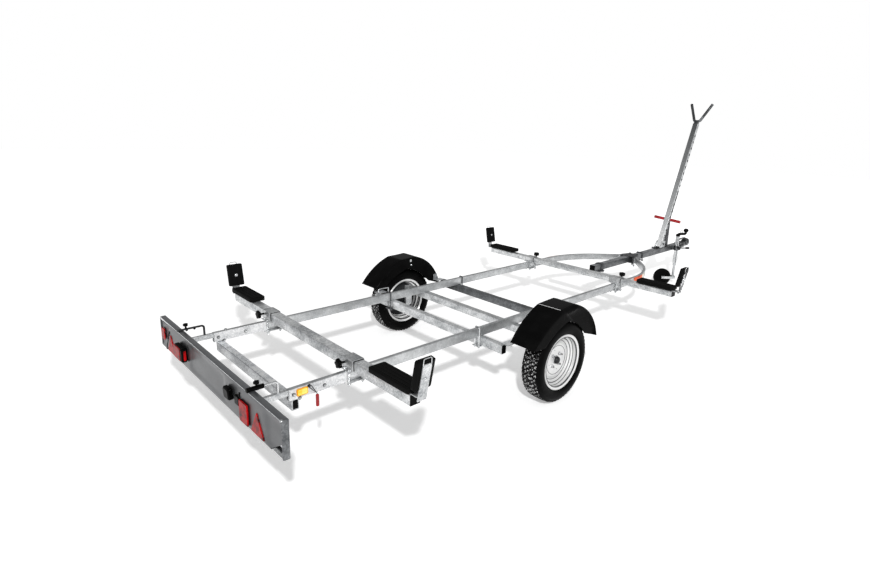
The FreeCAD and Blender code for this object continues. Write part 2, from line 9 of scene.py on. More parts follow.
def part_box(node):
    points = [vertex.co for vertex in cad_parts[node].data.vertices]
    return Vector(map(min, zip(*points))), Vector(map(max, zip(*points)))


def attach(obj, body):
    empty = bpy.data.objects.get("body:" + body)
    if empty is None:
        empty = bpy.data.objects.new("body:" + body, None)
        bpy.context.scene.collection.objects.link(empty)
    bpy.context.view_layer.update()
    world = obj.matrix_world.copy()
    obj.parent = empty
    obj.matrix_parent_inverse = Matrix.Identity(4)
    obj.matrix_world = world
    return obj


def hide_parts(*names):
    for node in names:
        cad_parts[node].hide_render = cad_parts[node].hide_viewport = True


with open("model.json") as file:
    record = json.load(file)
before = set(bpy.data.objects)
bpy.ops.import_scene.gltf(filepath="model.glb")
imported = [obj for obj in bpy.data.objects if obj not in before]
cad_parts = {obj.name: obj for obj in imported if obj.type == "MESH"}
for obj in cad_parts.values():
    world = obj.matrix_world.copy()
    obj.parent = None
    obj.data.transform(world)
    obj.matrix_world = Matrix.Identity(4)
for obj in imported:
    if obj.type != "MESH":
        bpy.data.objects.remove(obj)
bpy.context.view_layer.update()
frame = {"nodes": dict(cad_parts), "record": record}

mm = 0.001


sides = ((-1, "left"), (1, "right"))      # sign of x, and the word in the node's name


def low(node):
    return np.array(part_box(node)[0])


def high(node):
    return np.array(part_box(node)[1])


def middle(node):
    return (low(node) + high(node)) / 2


def size(node):
    return high(node) - low(node)


def gridFaces(rows, cols, wrapRows=False, wrapCols=False):
    # each cell of a rows x cols grid of points is one four-sided face
    r = np.arange(rows if wrapRows else rows - 1)
    c = np.arange(cols if wrapCols else cols - 1)
    a, b = (g.ravel() for g in np.meshgrid(r, c, indexing="ij"))
    a1 = (a + 1) % rows
    b1 = (b + 1) % cols
    return np.stack([a * cols + b, a * cols + b1, a1 * cols + b1, a1 * cols + b], axis=1)


def gridShell(points, wrapRows=False, wrapCols=False):
    # points is a rows x cols x 3 array
    rows, cols = points.shape[:2]
    return points.reshape(-1, 3), gridFaces(rows, cols, wrapRows, wrapCols).tolist()


def joinShells(shells):
    # several shells in one, each one's faces counted on from the last one's points
    points = []
    faces = []
    count = 0
    for p, f in shells:
        points.append(p)
        faces.extend([[i + count for i in face] for face in f])
        count += len(p)
    return np.concatenate(points), faces


def moved(shell, offset):
    return shell[0] + np.asarray(offset, float), shell[1]


def mirroredX(shell):
    # x changes sign, and each face runs the other way round so that it still looks outward
    return shell[0] * [-1, 1, 1], [face[::-1] for face in shell[1]]


def turnedShell(shell, axis, degrees):
    # every point turned about the axis through the origin
    m = np.array(Matrix.Rotation(math.radians(degrees), 3, Vector(axis)))
    return shell[0] @ m.T, shell[1]


def standing(shell, origin, axis, side=None):
    # moves a shell made along local z, so that its z runs along the axis from the origin
    z = np.asarray(axis, float)
    z = z / np.linalg.norm(z)
    if side is None:
        side = (1, 0, 0) if abs(z[0]) < 0.9 else (0, 1, 0)
    x = np.asarray(side, float)
    x = x - z * (x @ z)
    x = x / np.linalg.norm(x)
    m = np.stack([x, np.cross(z, x), z], axis=1)
    return shell[0] @ m.T + np.asarray(origin, float), shell[1]


def roundedBox(width, height, radius, steps=4):
    # closed outline of a rectangle whose corners are quarter circles
    a = np.linspace(0, math.pi / 2, steps + 1)
    corner = np.stack([np.cos(a), np.sin(a)], axis=1) * radius
    out = []
    for k, (sx, sy) in enumerate(((1, 1), (-1, 1), (-1, -1), (1, -1))):
        c, s = (1, 0, -1, 0)[k], (0, 1, 0, -1)[k]
        turned = corner @ np.array([[c, s], [-s, c]])
        out.append(turned + [sx * (width / 2 - radius), sy * (height / 2 - radius)])
    return np.concatenate(out)


def circle(radius, count=20):
    # points at equal angles round the radius
    a = np.arange(count) * 2 * math.pi / count
    return np.stack([np.cos(a), np.sin(a)], axis=1) * radius


def carryRings(profile, path, up=(0, 0, 1), scales=None):
    # ring at each path point = point + u * side + v * upward, both square to the path's run
    path = np.asarray(path, float)
    run = np.gradient(path, axis=0)
    run = run / np.linalg.norm(run, axis=1, keepdims=True)
    side = np.cross(run, np.asarray(up, float))
    side = side / np.linalg.norm(side, axis=1, keepdims=True)
    upward = np.cross(side, run)
    if scales is None:
        scales = np.ones((len(path), 2))
    scales = np.asarray(scales, float)
    u = profile[None, :, 0, None] * scales[:, None, 0:1]
    v = profile[None, :, 1, None] * scales[:, None, 1:2]
    return path[:, None] + u * side[:, None] + v * upward[:, None]


def closedEnds(rings):
    # adds a point at the middle of each end ring, so the shell is closed
    first = np.repeat(rings[:1].mean(axis=1, keepdims=True), rings.shape[1], axis=1)
    last = np.repeat(rings[-1:].mean(axis=1, keepdims=True), rings.shape[1], axis=1)
    return np.concatenate([first, rings, last])


def bar(profile, path, up=(0, 0, 1), chamfer=0.0):
    # the profile carried along the path, with small chamfers, and closed at both ends
    path = np.asarray(path, float)
    if chamfer:
        half = np.abs(profile).max(axis=0)
        inset = 1 - chamfer / half
        start = path[1] - path[0]
        end = path[-2] - path[-1]
        start = path[0] + start * chamfer / np.linalg.norm(start)
        end = path[-1] + end * chamfer / np.linalg.norm(end)
        path = np.concatenate([path[:1], [start], path[1:-1], [end], path[-1:]])
        scales = np.ones((len(path), 2))
        scales[0] = inset
        scales[-1] = inset
        rings = carryRings(profile, path, up, scales)
    else:
        rings = carryRings(profile, path, up)
    return gridShell(closedEnds(rings), wrapCols=True)


def pipe(outer, inner, path, up=(0, 0, 1)):
    # the outer outline out along the path and the inner one back: a wall with open ends
    away = carryRings(outer, path, up)
    back = carryRings(inner, path, up)[::-1]
    return gridShell(np.concatenate([away, back]), wrapRows=True, wrapCols=True)


def turnedRings(profile, count):
    # profile rows are (radius, height): each point goes round local z
    a = np.arange(count) * 2 * math.pi / count
    profile = np.asarray(profile, float)
    x = profile[:, None, 0] * np.cos(a)[None]
    y = profile[:, None, 0] * np.sin(a)[None]
    z = np.repeat(profile[:, None, 1], count, axis=1)
    return np.stack([x, y, z], axis=2)


def lathe(profile, count=32, closed=False):
    # a closed profile also joins its last ring to its first
    return gridShell(turnedRings(profile, count), wrapRows=closed, wrapCols=True)


def spun(rows, count=32, closed=False):
    # the same with rows in millimetres
    return lathe(np.array(rows) * mm, count, closed)


def bentPath(points, radius, steps=6):
    # straight runs, with each corner replaced by an arc that is tangent to both runs
    points = np.asarray(points, float)
    out = [points[0]]
    for a, b, c in zip(points[:-2], points[1:-1], points[2:]):
        u = (a - b) / np.linalg.norm(a - b)
        v = (c - b) / np.linalg.norm(c - b)
        turn = math.pi - math.acos(float(np.clip(u @ v, -1, 1)))
        reach = radius * math.tan(turn / 2)
        half = (u + v) / np.linalg.norm(u + v)
        centre = b + half * radius / math.cos(turn / 2)
        start = b + u * reach - centre
        normal = (v - u) / np.linalg.norm(v - u)
        across = start / np.linalg.norm(start)
        along = normal - across * (normal @ across)
        along = along / np.linalg.norm(along)
        for t in np.linspace(0, turn, steps):
            out.append(centre + radius * (across * math.cos(t) + along * math.sin(t)))
    out.append(points[-1])
    return np.array(out)


def bentRod(points, radius, bend, count=12, up=(0.13, 0.21, 0.97)):
    # a round rod along straight runs and tangent arcs
    path = bentPath(points, bend)
    ring = circle(radius, count)
    run = np.gradient(path, axis=0)
    run = run / np.linalg.norm(run, axis=1, keepdims=True)
    side = np.cross(run[0], up)
    rings = []
    for p, t in zip(path, run):
        # the ring's side is kept from the last one, made square to the run again
        side = side - t * (side @ t)
        side = side / np.linalg.norm(side)
        rings.append(p + ring[:, :1] * side + ring[:, 1:] * np.cross(side, t))
    return gridShell(closedEnds(np.array(rings)), wrapCols=True)


def plate(outline, holes, thickness, bevel=0.0006):
    # a flat sheet from z 0 to its thickness, with holes through it
    curve = bpy.data.curves.new("outline", "CURVE")
    curve.dimensions = "2D"
    curve.fill_mode = "BOTH"
    for points in [outline] + list(holes):
        line = curve.splines.new("POLY")
        points = np.asarray(points, float)
        line.points.add(len(points) - 1)
        flat = np.zeros((len(points), 4))
        flat[:, :2] = points[:, :2]
        flat[:, 3] = 1
        line.points.foreach_set("co", flat.ravel())
        line.use_cyclic_u = True
    curve.extrude = thickness / 2 - bevel
    curve.bevel_depth = bevel
    curve.offset = -bevel
    curve.bevel_resolution = 0
    holder = bpy.data.objects.new("outline", curve)
    mesh = bpy.data.meshes.new_from_object(holder)
    points = np.zeros(len(mesh.vertices) * 3)
    mesh.vertices.foreach_get("co", points)
    faces = [list(face.vertices) for face in mesh.polygons]
    bpy.data.objects.remove(holder)
    bpy.data.curves.remove(curve)
    bpy.data.meshes.remove(mesh)
    return points.reshape(-1, 3) + [0, 0, thickness / 2], faces


def boltShell(across=17 * mm, height=7 * mm, washer=2 * mm):
    # six-sided head with a chamfered top, standing on a round washer
    r = across / math.sqrt(3)
    head = lathe([(0, washer), (r, washer), (r, washer + height * 0.8),
                  (r * 0.84, washer + height), (0, washer + height)], 6)
    disc = lathe([(0, 0), (r * 1.22, 0), (r * 1.28, washer * 0.5), (r * 1.22, washer), (0, washer)], 20)
    return joinShells([head, disc])


def studShell(length, radius=5 * mm):
    # threaded end of a bolt: radius rises and falls with each turn of the thread
    pitch = 2.4 * mm
    rows = max(4, int(length / pitch) * 2)
    z = np.linspace(0, length, rows)
    r = np.where(np.arange(rows) % 2 == 0, radius, radius * 0.86)
    profile = np.concatenate([[[0, 0]], np.stack([r, z], axis=1), [[0, length]]])
    return lathe(profile, 12)


def addPiece(name, shell, finish, body, replaces=(), sharp=32):
    # one mesh at the origin, welded, faces outward, smooth up to the sharp angle
    points, faces = shell
    mesh = bpy.data.meshes.new(name)
    mesh.from_pydata(points.tolist(), [], faces)
    work = bmesh.new()
    work.from_mesh(mesh)
    bmesh.ops.remove_doubles(work, verts=work.verts, dist=2e-6)
    bmesh.ops.dissolve_degenerate(work, edges=work.edges, dist=1e-7)
    bmesh.ops.recalc_face_normals(work, faces=work.faces)
    work.to_mesh(mesh)
    work.free()
    mesh.shade_smooth()
    mesh.set_sharp_from_angle(angle=math.radians(sharp))
    piece = bpy.data.objects.new(name, mesh)
    bpy.context.scene.collection.objects.link(piece)
    mesh.materials.append(finish)
    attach(piece, body)
    if replaces:
        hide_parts(*replaces)
    return piece


def linear(code):
    # sRGB hex to linear light
    c = np.array([int(code[i:i + 2], 16) for i in (1, 3, 5)]) / 255
    c = np.where(c <= 0.04045, c / 12.92, ((c + 0.055) / 1.055) ** 2.4)
    return (*c.tolist(), 1.0)


def addNode(tree, kind, values=None, sources=None, **settings):
    # one node with its settings, its fixed values, and the links that come into it
    new = tree.nodes.new("ShaderNode" + kind)
    for key, value in settings.items():
        setattr(new, key, value)
    for key, value in (values or {}).items():
        new.inputs[key].default_value = value
    for key, source in (sources or {}).items():
        tree.links.new(source, new.inputs[key])
    return new


def newFinish(name, **fixed):
    # a surface with its fixed values set on the shader's own sockets
    finish = bpy.data.materials.new(name)
    finish.use_nodes = True
    tree = finish.node_tree
    tree.nodes.clear()
    shader = addNode(tree, "BsdfPrincipled", values=fixed)
    addNode(tree, "OutputMaterial", sources={"Surface": shader.outputs["BSDF"]})
    place = addNode(tree, "TexCoord")
    return finish, tree, shader, place.outputs["Object"]


def colourRamp(tree, source, stops):
    # stops are (place from 0 to 1, colour code), blended from one to the next
    ramp = addNode(tree, "ValToRGB", sources={"Fac": source})
    elements = ramp.color_ramp.elements
    while len(elements) < len(stops):
        elements.new(0.5)
    for element, (at, code) in zip(elements, stops):
        element.position = at
        element.color = linear(code)
    return ramp.outputs["Color"]


def mappedRange(tree, source, low0, high0, low1, high1):
    # low0..high0 of the source become low1..high1, and values beyond the ends stay at them
    span = addNode(tree, "MapRange", sources={"Value": source},
                   values={"From Min": low0, "From Max": high0, "To Min": low1, "To Max": high1})
    return span.outputs["Result"]


def cellTone(tree, place, cell):
    # one random value for each cell, the cells being about as wide as the given size
    cells = addNode(tree, "TexVoronoi", values={"Scale": 1 / cell, "Randomness": 1.0},
                    sources={"Vector": place})
    tone = addNode(tree, "SeparateColor", sources={"Color": cells.outputs["Color"]})
    return tone.outputs["Red"]


def addRelief(tree, shader, height, strength, distance):
    # small bumps on the surface, as high as the source says
    relief = addNode(tree, "Bump", values={"Strength": strength, "Distance": distance},
                     sources={"Height": height})
    tree.links.new(relief.outputs["Normal"], shader.inputs["Normal"])


def zincFinish(name, dark, mid, light, roughness, cell=7 * mm, streak=(1.0, 1.0, 1.6), metallic=0.75,
               bump=0.03, weight=0.22, top=1.0):
    # zinc on steel: tone = crystals * weight + clouds, where crystals a few mm wide differ slightly in
    # their grey, and clouds are runs and stains; faces that look up are painted lighter by the factor top, as
    # if lit from above
    finish, tree, shader, place = newFinish(name, Metallic=metallic)
    crystals = cellTone(tree, place, cell)
    stretched = addNode(tree, "Mapping", values={"Scale": streak}, sources={"Vector": place})
    clouds = addNode(tree, "TexNoise", values={"Scale": 9.0, "Detail": 6.0, "Roughness": 0.62},
                     sources={"Vector": stretched.outputs["Vector"]})
    both = addNode(tree, "Math", operation="MULTIPLY_ADD", values={1: weight},
                   sources={0: crystals, 2: clouds.outputs["Fac"]})
    tone = both.outputs["Value"]
    mean = 0.5 + weight / 2
    reach = 0.22      # how far the darkest and the lightest tone lie from the mean
    colour = colourRamp(tree, tone, ((mean - reach, dark), (mean, mid), (mean + reach, light)))
    # painted light: the colour of up-facing faces is scaled by top, so tops come out lighter than sides
    facing = addNode(tree, "SeparateXYZ", sources={"Vector": place.node.outputs["Normal"]})
    paintedTopLight = mappedRange(tree, facing.outputs["Z"], 0.60, 0.95, 1.0, top)
    topLitColour = addNode(tree, "VectorMath", operation="SCALE", sources={0: colour, "Scale": paintedTopLight})
    tree.links.new(topLitColour.outputs["Vector"], shader.inputs["Base Color"])
    smooth, rough = roughness
    dull = mappedRange(tree, tone, mean - 0.25, mean + 0.25, rough, smooth)
    tree.links.new(dull, shader.inputs["Roughness"])
    addRelief(tree, shader, tone, bump, 0.002)
    return finish


def mouldedFinish(name, base, worn, roughness, grain, bump, **fixed):
    # moulded or sprayed surface: fine grain, with the colour a little lighter in worn patches
    finish, tree, shader, place = newFinish(name, **fixed)
    skin = addNode(tree, "TexNoise", values={"Scale": 1 / grain, "Detail": 2.0},
                   sources={"Vector": place})
    patches = addNode(tree, "TexNoise", values={"Scale": 14.0, "Detail": 4.0},
                      sources={"Vector": place})
    colour = colourRamp(tree, patches.outputs["Fac"], ((0.40, base), (0.75, worn)))
    tree.links.new(colour, shader.inputs["Base Color"])
    smooth, rough = roughness
    dull = mappedRange(tree, patches.outputs["Fac"], 0.3, 0.7, smooth, rough)
    tree.links.new(dull, shader.inputs["Roughness"])
    addRelief(tree, shader, skin.outputs["Fac"], bump, 0.001)
    return finish


def lensFinish(name, deep, bright, pitch):
    # pressed acrylic: prisms inside break the reflector behind into bright and dark squares
    finish, tree, shader, place = newFinish(name, Roughness=0.30, IOR=1.49, **{"Specular IOR Level": 0.10})
    prisms = addNode(tree, "TexVoronoi", distance="CHEBYCHEV",
                     values={"Scale": 1 / pitch, "Randomness": 0.15}, sources={"Vector": place})
    patches = addNode(tree, "TexNoise", values={"Scale": 26.0, "Detail": 2.0},
                      sources={"Vector": place})
    both = addNode(tree, "Math", operation="MULTIPLY_ADD", values={1: 0.35},
                   sources={0: prisms.outputs["Distance"], 2: patches.outputs["Fac"]})
    colour = colourRamp(tree, both.outputs["Value"], ((0.42, deep), (0.68, bright)))
    tree.links.new(colour, shader.inputs["Base Color"])
    addRelief(tree, shader, prisms.outputs["Distance"], 0.25, 0.001)
    return finish


def treadGlintFinish():
    # painted highlight: small light cells on the black blocks stand for light glinting on the lug tops
    finish, tree, shader, place = newFinish("treadRubberPaintedGlints", Roughness=0.6, IOR=1.3)
    specks = cellTone(tree, place, 7 * mm)
    colour = colourRamp(tree, specks, ((0.55, "#050505"), (0.66, "#4A4A4A"), (0.95, "#D8D8D8")))
    tree.links.new(colour, shader.inputs["Base Color"])
    return finish


def postShadeFinish():
    # painted shade: zinc whose colour runs from pale at the post's foot to dark at its head, times a tone for
    # each crystal
    finish, tree, shader, place = newFinish("postZincPaintedShade", Metallic=0.75, Roughness=0.5)
    level = addNode(tree, "SeparateXYZ", sources={"Vector": place})
    rise = mappedRange(tree, level.outputs["Z"], 0.50, 1.92, 0.0, 1.0)
    stops = ((0.0, "#F6F7F7"), (0.2, "#D0D2D3"), (0.36, "#B3B5B6"), (0.5, "#A0A2A3"), (0.68, "#8B8D8E"),
             (0.86, "#737576"), (1.0, "#595B5D"))
    tone = colourRamp(tree, rise, stops)
    spread = mappedRange(tree, cellTone(tree, place, 9 * mm), 0.0, 1.0, 0.78, 1.12)
    scaled = addNode(tree, "VectorMath", operation="SCALE", sources={0: tone, "Scale": spread})
    tree.links.new(scaled.outputs["Vector"], shader.inputs["Base Color"])
    return finish


even = (1.0, 1.0, 1.0)      # clouds as long as they are wide, without runs
# hot-dip galvanised tube: bright zinc with a spangle of about 7 mm and cloudy runs
galvanised = zincFinish("hotDipGalvanisedSteel", "#94979A", "#C6C8C9", "#EAEBEC", (0.28, 0.42))
# the same zinc with its tops painted lighter (top 1.28), painted light: member behind the axle and rear beam
topLitZinc = zincFinish("topLitGalvanisedSteel", "#94979A", "#C6C8C9", "#EAEBEC", (0.28, 0.42), top=1.28)
# cleaner, paler zinc of the front member and the front beam, with its tops painted a little lighter (top
# 1.12), painted light
cleanZinc = zincFinish("cleanGalvanisedSteel", "#A2A5A8", "#D6D8D9", "#F6F7F7", (0.28, 0.42), top=1.12)
# newer zinc of the plates on the rails' rear ends: brighter, more matt
newGalvanised = zincFinish("newGalvanisedSteel", "#B4B6B8", "#DADBDC", "#F2F2F2", (0.34, 0.50),
                           metallic=0.5)
# even zinc of the long rails
railZinc = zincFinish("railGalvanisedSteel", "#9C9EA0", "#B9BBBC", "#D2D4D5", (0.30, 0.42), weight=0.16)
# clouded zinc of the rear member: duller, with more contrast between its patches; its tops are painted twice
# as light (top 2.1), painted light
clouded = zincFinish("cloudedGalvanisedSteel", "#77797B", "#A6A8AA", "#CBCDCE", (0.30, 0.46), top=2.1)
# dark zinc of the drawbar, its top painted much lighter than its sides (top 2.3): painted light
drawbarZinc = zincFinish("drawbarZinc", "#484A4C", "#616365", "#7E8082",
                         (0.34, 0.48), 8 * mm, (1.0, 1.0, 1.4), top=2.3)
# darker, greyer zinc of the member ahead of the axle and of the board's ends: the same spangle
greyZinc = zincFinish("greyGalvanisedSteel", "#56585A", "#707274", "#8C8E90",
                      (0.34, 0.48), 8 * mm, (1.0, 1.0, 1.4))
# zinc on gussets, saddle, U-bolts and strut: darker and duller, with finer crystals
dullZinc = zincFinish("dullZincFittings", "#3E4042", "#58595B", "#7C7E80", (0.38, 0.60), 5 * mm, even)
# bright zinc plating of bolts, rods and wires: smooth, small blotches
brightZinc = zincFinish("brightZincPlating", "#A3A5A7", "#C9CBCC", "#ECEDEE", (0.18, 0.30), 4 * mm, even,
                        bump=0.02)
# rolled sheet of the light board: even mid grey zinc, nearly smooth; its up-facing faces are painted lighter
# (top 2.2), painted light
sheetZinc = zincFinish("rolledZincSheet", "#535456", "#58595B", "#5F6163",
                       (0.30, 0.36), 14 * mm, (0.3, 1.0, 0.6), metallic=0.85, bump=0.006, weight=0.10,
                       top=2.2)
# silver paint on pressed steel wheels: fine flake, satin
wheelPaint = mouldedFinish("silverWheelPaint", "#E4E4E4", "#ECECEB", (0.34, 0.38), 0.8 * mm, 0.008,
                           Metallic=0.45)
# rotary moulded polyethylene of the mudguards: black with a soft polish
blackGuard = mouldedFinish("mouldedPolyethylene", "#0A0A0A", "#0F0F0F", (0.20, 0.28), 1.2 * mm, 0.02,
                           IOR=1.08)
# black nylon of knobs and caps
blackNylon = mouldedFinish("blackNylon", "#020202", "#060606", (0.32, 0.45), 0.8 * mm, 0.06, IOR=1.15)
# vulcanised tyre rubber: carbon black, dull, with fine mould grain
tyreRubber = mouldedFinish("vulcanisedTyreRubber", "#040404", "#090909", (0.36, 0.50), 1.5 * mm, 0.06,
                           IOR=1.12)
glintTread = treadGlintFinish()
# painted highlight: a pale strip along the crease of a mudguard, where light glints
paintedHighlight = mouldedFinish("paintedCreaseHighlight", "#BEBEBE", "#E4E4E4", (0.4, 0.5), 2 * mm, 0.02)
# needle-felt faced rubber of the pads: black and matt with a fine nap
padRubber = mouldedFinish("feltFacedRubber", "#030303", "#0A0A0A", (0.66, 0.85), 1.0 * mm, 0.30, IOR=1.2)
postShadedZinc = postShadeFinish()
# bare steel under patchy zinc: foot of the mast, coupling and jockey clamp
speckledSteel = zincFinish("speckledBareSteel", "#161718", "#343637", "#7C7E80",
                           (0.35, 0.60), 13 * mm, even, weight=0.4)
# stained zinc of the front right pad's bracket: dark and light crystals side by side
mottledZinc = zincFinish("mottledZinc", "#1C1E20", "#6E7072", "#E6E7E8",
                         (0.35, 0.60), 13 * mm, even, weight=0.6)
# dark zinc of the mast's fork, carrying on the painted shade of the post's head, with short runs down it
yokeZinc = zincFinish("yokeZinc", "#2C2E2F", "#4A4C4E", "#727476",
                      (0.30, 0.45), 8 * mm, (1.0, 1.0, 0.3))
# hubs, one hold rod and small wires: nearly black steel with a little zinc on it
darkSteel = zincFinish("darkBareSteel", "#1E1F20", "#303133", "#4A4C4E", (0.40, 0.60), 6 * mm, even)
# dipped vinyl of the grips
redVinyl = mouldedFinish("dippedRedVinyl", "#8E0C14", "#B41720", (0.36, 0.5), 9.0 * mm, 0.05)
# pressed acrylic of lamps, triangles and side marks
redLens = lensFinish("redAcrylicLens", "#240204", "#B00E12", 6 * mm)
amberLens = lensFinish("amberAcrylicLens", "#FAC800", "#FFEE80", 7 * mm)
amberRim = lensFinish("amberAcrylicRim", "#E08A10", "#F5A81E", 7 * mm)
orangeLens = lensFinish("orangeAcrylicLens", "#C8321A", "#F0683A", 7 * mm)
whiteLens = mouldedFinish("whiteAcrylicLens", "#E8DCC8", "#F4EEE2", (0.10, 0.16), 1.5 * mm, 0.05)
print("finishes made")


tube = dict(corner=4.5 * mm, wall=2.5 * mm)


def tubeShell(width, height, path, wall=None, corner=None, up=(0, 0, 1)):
    # rounded outline carried along the path, and the same outline one wall further in
    wall = wall or tube["wall"]
    corner = corner or tube["corner"]
    outer = roundedBox(width, height, corner)
    inner = roundedBox(width - 2 * wall, height - 2 * wall, corner - wall * 0.8)
    return pipe(outer, inner, path, up)


def straightAlong(node, axis):
    # path down the middle of a node's box, from its low end to its high end
    path = np.repeat(middle(node)[None], 2, axis=0)
    path[:, axis] = low(node)[axis], high(node)[axis]
    return path


railPlan = dict(width=25 * mm, straight=3305 * mm, bendRadius=850 * mm, bendDegrees=40.0)


def longRail(side):
    # straight run, then an arc inwards, then a straight run whose end is cut along the drawbar
    node = "rail_right" if side > 0 else "rail_left"
    x = max(abs(low(node)[0]), abs(high(node)[0])) - railPlan["width"] / 2
    z = middle(node)[2]
    rear = low(node)[1]
    bendStart = rear + railPlan["straight"]
    a = np.radians(np.linspace(0, railPlan["bendDegrees"], 40))
    r = railPlan["bendRadius"]
    arcX = x - r + r * np.cos(a)
    arcY = bendStart + r * np.sin(a)
    face = min(abs(low(node)[0]), abs(high(node)[0]))
    last = math.radians(railPlan["bendDegrees"])
    run = (arcX[-1] - face) / math.sin(last)
    xs = np.concatenate([[x], arcX, [face]])
    ys = np.concatenate([[rear], arcY, [arcY[-1] + run * math.cos(last)]])
    path = np.stack([xs, ys, np.full(len(xs), z)], axis=1)
    points, faces = tubeShell(railPlan["width"], size(node)[2], path)
    # the last rings slide along the run until they lie on the drawbar's face
    ring = len(points) // (2 * len(path))
    for start in ((len(path) - 1) * ring, len(path) * ring):
        part = points[start:start + ring]
        part[:, 1] += (part[:, 0] - face) * math.cos(last) / math.sin(last)
        part[:, 0] = face
    shell = (points, faces)
    if side < 0:
        shell = mirroredX(shell)
    addPiece("tube_" + node, shell, railZinc, "frame", [node])


for side in (-1, 1):
    longRail(side)

# members across the trailer, each replaced by a tube with rounded corners in its own zinc
crossZinc = dict(crossmember_rear=clouded, crossmember_behind_axle=topLitZinc,
                 crossmember_ahead_of_axle=greyZinc, crossmember_front=cleanZinc,
                 beam_rear=topLitZinc, beam_front=cleanZinc)
# the rear beam's rolled tube stands this many mm taller than its plain solid
beamRise = dict(rear=12, front=0)
for node, zinc in crossZinc.items():
    s = size(node)
    rise = beamRise[node[5:]] * mm if node.startswith("beam") else 0.0
    shell = tubeShell(s[1], s[2] + rise, straightAlong(node, 0) + [0, 0, rise / 2])
    addPiece("tube_" + node, shell, zinc, "frame", [node])
s = size("drawbar")
addPiece("tube_drawbar", tubeShell(s[0], s[2], straightAlong("drawbar", 1), wall=3 * mm),
         drawbarZinc, "frame", ["drawbar"])
print("frame tubes made")


pad = dict(corner=9 * mm, edge=5 * mm, crown=1.5 * mm, rib=2.2 * mm, flatRibs=4, uprightRibs=3,
           upright=(152 * mm, 100 * mm, 30 * mm), lean=11.0)      # degrees that upright pads lean outwards


def padShell(length, width, height):
    # block whose plan is a rounded rectangle, top edges rolled over and faces slightly crowned
    plan = roundedBox(length, width, pad["corner"], 5)
    e = pad["edge"]
    a = np.linspace(0, math.pi / 2, 6)
    rows = [(-height / 2, 0.45 * e), (-height / 2 + 0.45 * e, 0.0), (0.0, -0.2 * mm)]
    rows += [(height / 2 - e + e * math.sin(t), e - e * math.cos(t)) for t in a]
    rings = []
    for z, inset in rows:
        scale = 1 - np.array([inset / (length / 2), inset / (width / 2)])
        flat = plan * scale
        rings.append(np.column_stack([flat, np.full(len(flat), z)]))
    # the top sinks in shallow rings towards a crown at its middle
    for share in (0.7, 0.4):
        flat = plan * (1 - e / (length / 2)) * share
        level = height / 2 + pad["crown"] * 0.3 * (1 - share)
        rings.append(np.column_stack([flat, np.full(len(flat), level)]))
    return gridShell(closedEnds(np.array(rings)), wrapCols=True)


def padRibs(length, width, height, count):
    # raised ribs along the top of a pad, each a half-round strip with tapered ends
    strips = []
    for k in range(count):
        y = (k - (count - 1) / 2) * width / (count + 0.4)
        half = circle(pad["rib"], 10)
        path = np.array([(t * (length / 2 - 10 * mm), y, height / 2 + 0.2 * mm)
                         for t in (-1.0, -0.97, 0.97, 1.0)])
        rings = carryRings(half, path, scales=[(0.3, 0.3), (1, 0.6), (1, 0.6), (0.3, 0.3)])
        strips.append(gridShell(closedEnds(rings), wrapCols=True))
    return strips


for end in ("rear", "front"):
    for side, name in sides:
        node = f"flat_pad_{end}_{name}"
        s = size(node)
        place = middle(node) + [0, 0, beamRise[end] * mm]
        shell = moved(joinShells([padShell(*s)] + padRibs(*s, pad["flatRibs"])), place)
        piece = addPiece("pad_" + node, shell, padRubber, "frame", [node], sharp=50)
        node = f"side_pad_{end}_{name}"
        s = pad["upright"]
        shell = joinShells([padShell(*s)] + padRibs(*s, pad["uprightRibs"]))
        shell = turnedShell(shell, (0, 1, 0), pad["lean"] - 90)
        if side < 0:
            shell = mirroredX(shell)
        piece = addPiece("pad_" + node, moved(shell, middle(node)), padRubber, "frame",
                         [node], sharp=50)
print("pads made")


wheel = dict(radius=273.5 * mm, blocksRound=56, wallRadius=222, wallHalf=33, wallBulge=15.5)


def wallPoint(t, side):
    # half an ellipse bulges the wall: radius = wallRadius + wallHalf t, out by wallBulge sqrt(1 - t^2)
    bulge = wheel["wallBulge"] * math.sqrt(max(0.0, 1 - (t * 0.98) ** 2))
    return wheel["wallRadius"] + wheel["wallHalf"] * t, side * (60 + bulge)


def tyreShell():
    # casing outline carried round the axle: bead, bulged wall, shoulder and crowned tread
    outline = [(169.5, -52), (169.5, 52), (176, 55), (186, 57.5), (189, 60)]
    a = np.linspace(-1.0, 1.0, 12)
    outline += [wallPoint(t, 1) for t in a]
    outline += [(262, 60), (266.6, 55), (267.2, 52)]
    across = np.linspace(52, -52, 9)
    outline += [(268.4 - 1.6 * (x / 52) ** 2, x) for x in across[1:-1]]
    outline += [(267.2, -52), (266.6, -55), (262, -60)]
    outline += [wallPoint(t, -1) for t in a[::-1]]
    outline += [(189, -60), (186, -57.5), (176, -55)]
    return spun(outline, 96, closed=True)


# tread blocks: place across (mm), width, length round, turn in degrees, share of the pitch
treadRows = ((-47, 17, 17, 12, 0.0), (-27, 15, 18, -22, 0.5), (-9, 13, 19, 18, 0.15),
             (9, 13, 19, -18, 0.65), (27, 15, 18, 22, 0.3), (47, 17, 17, -12, 0.8))


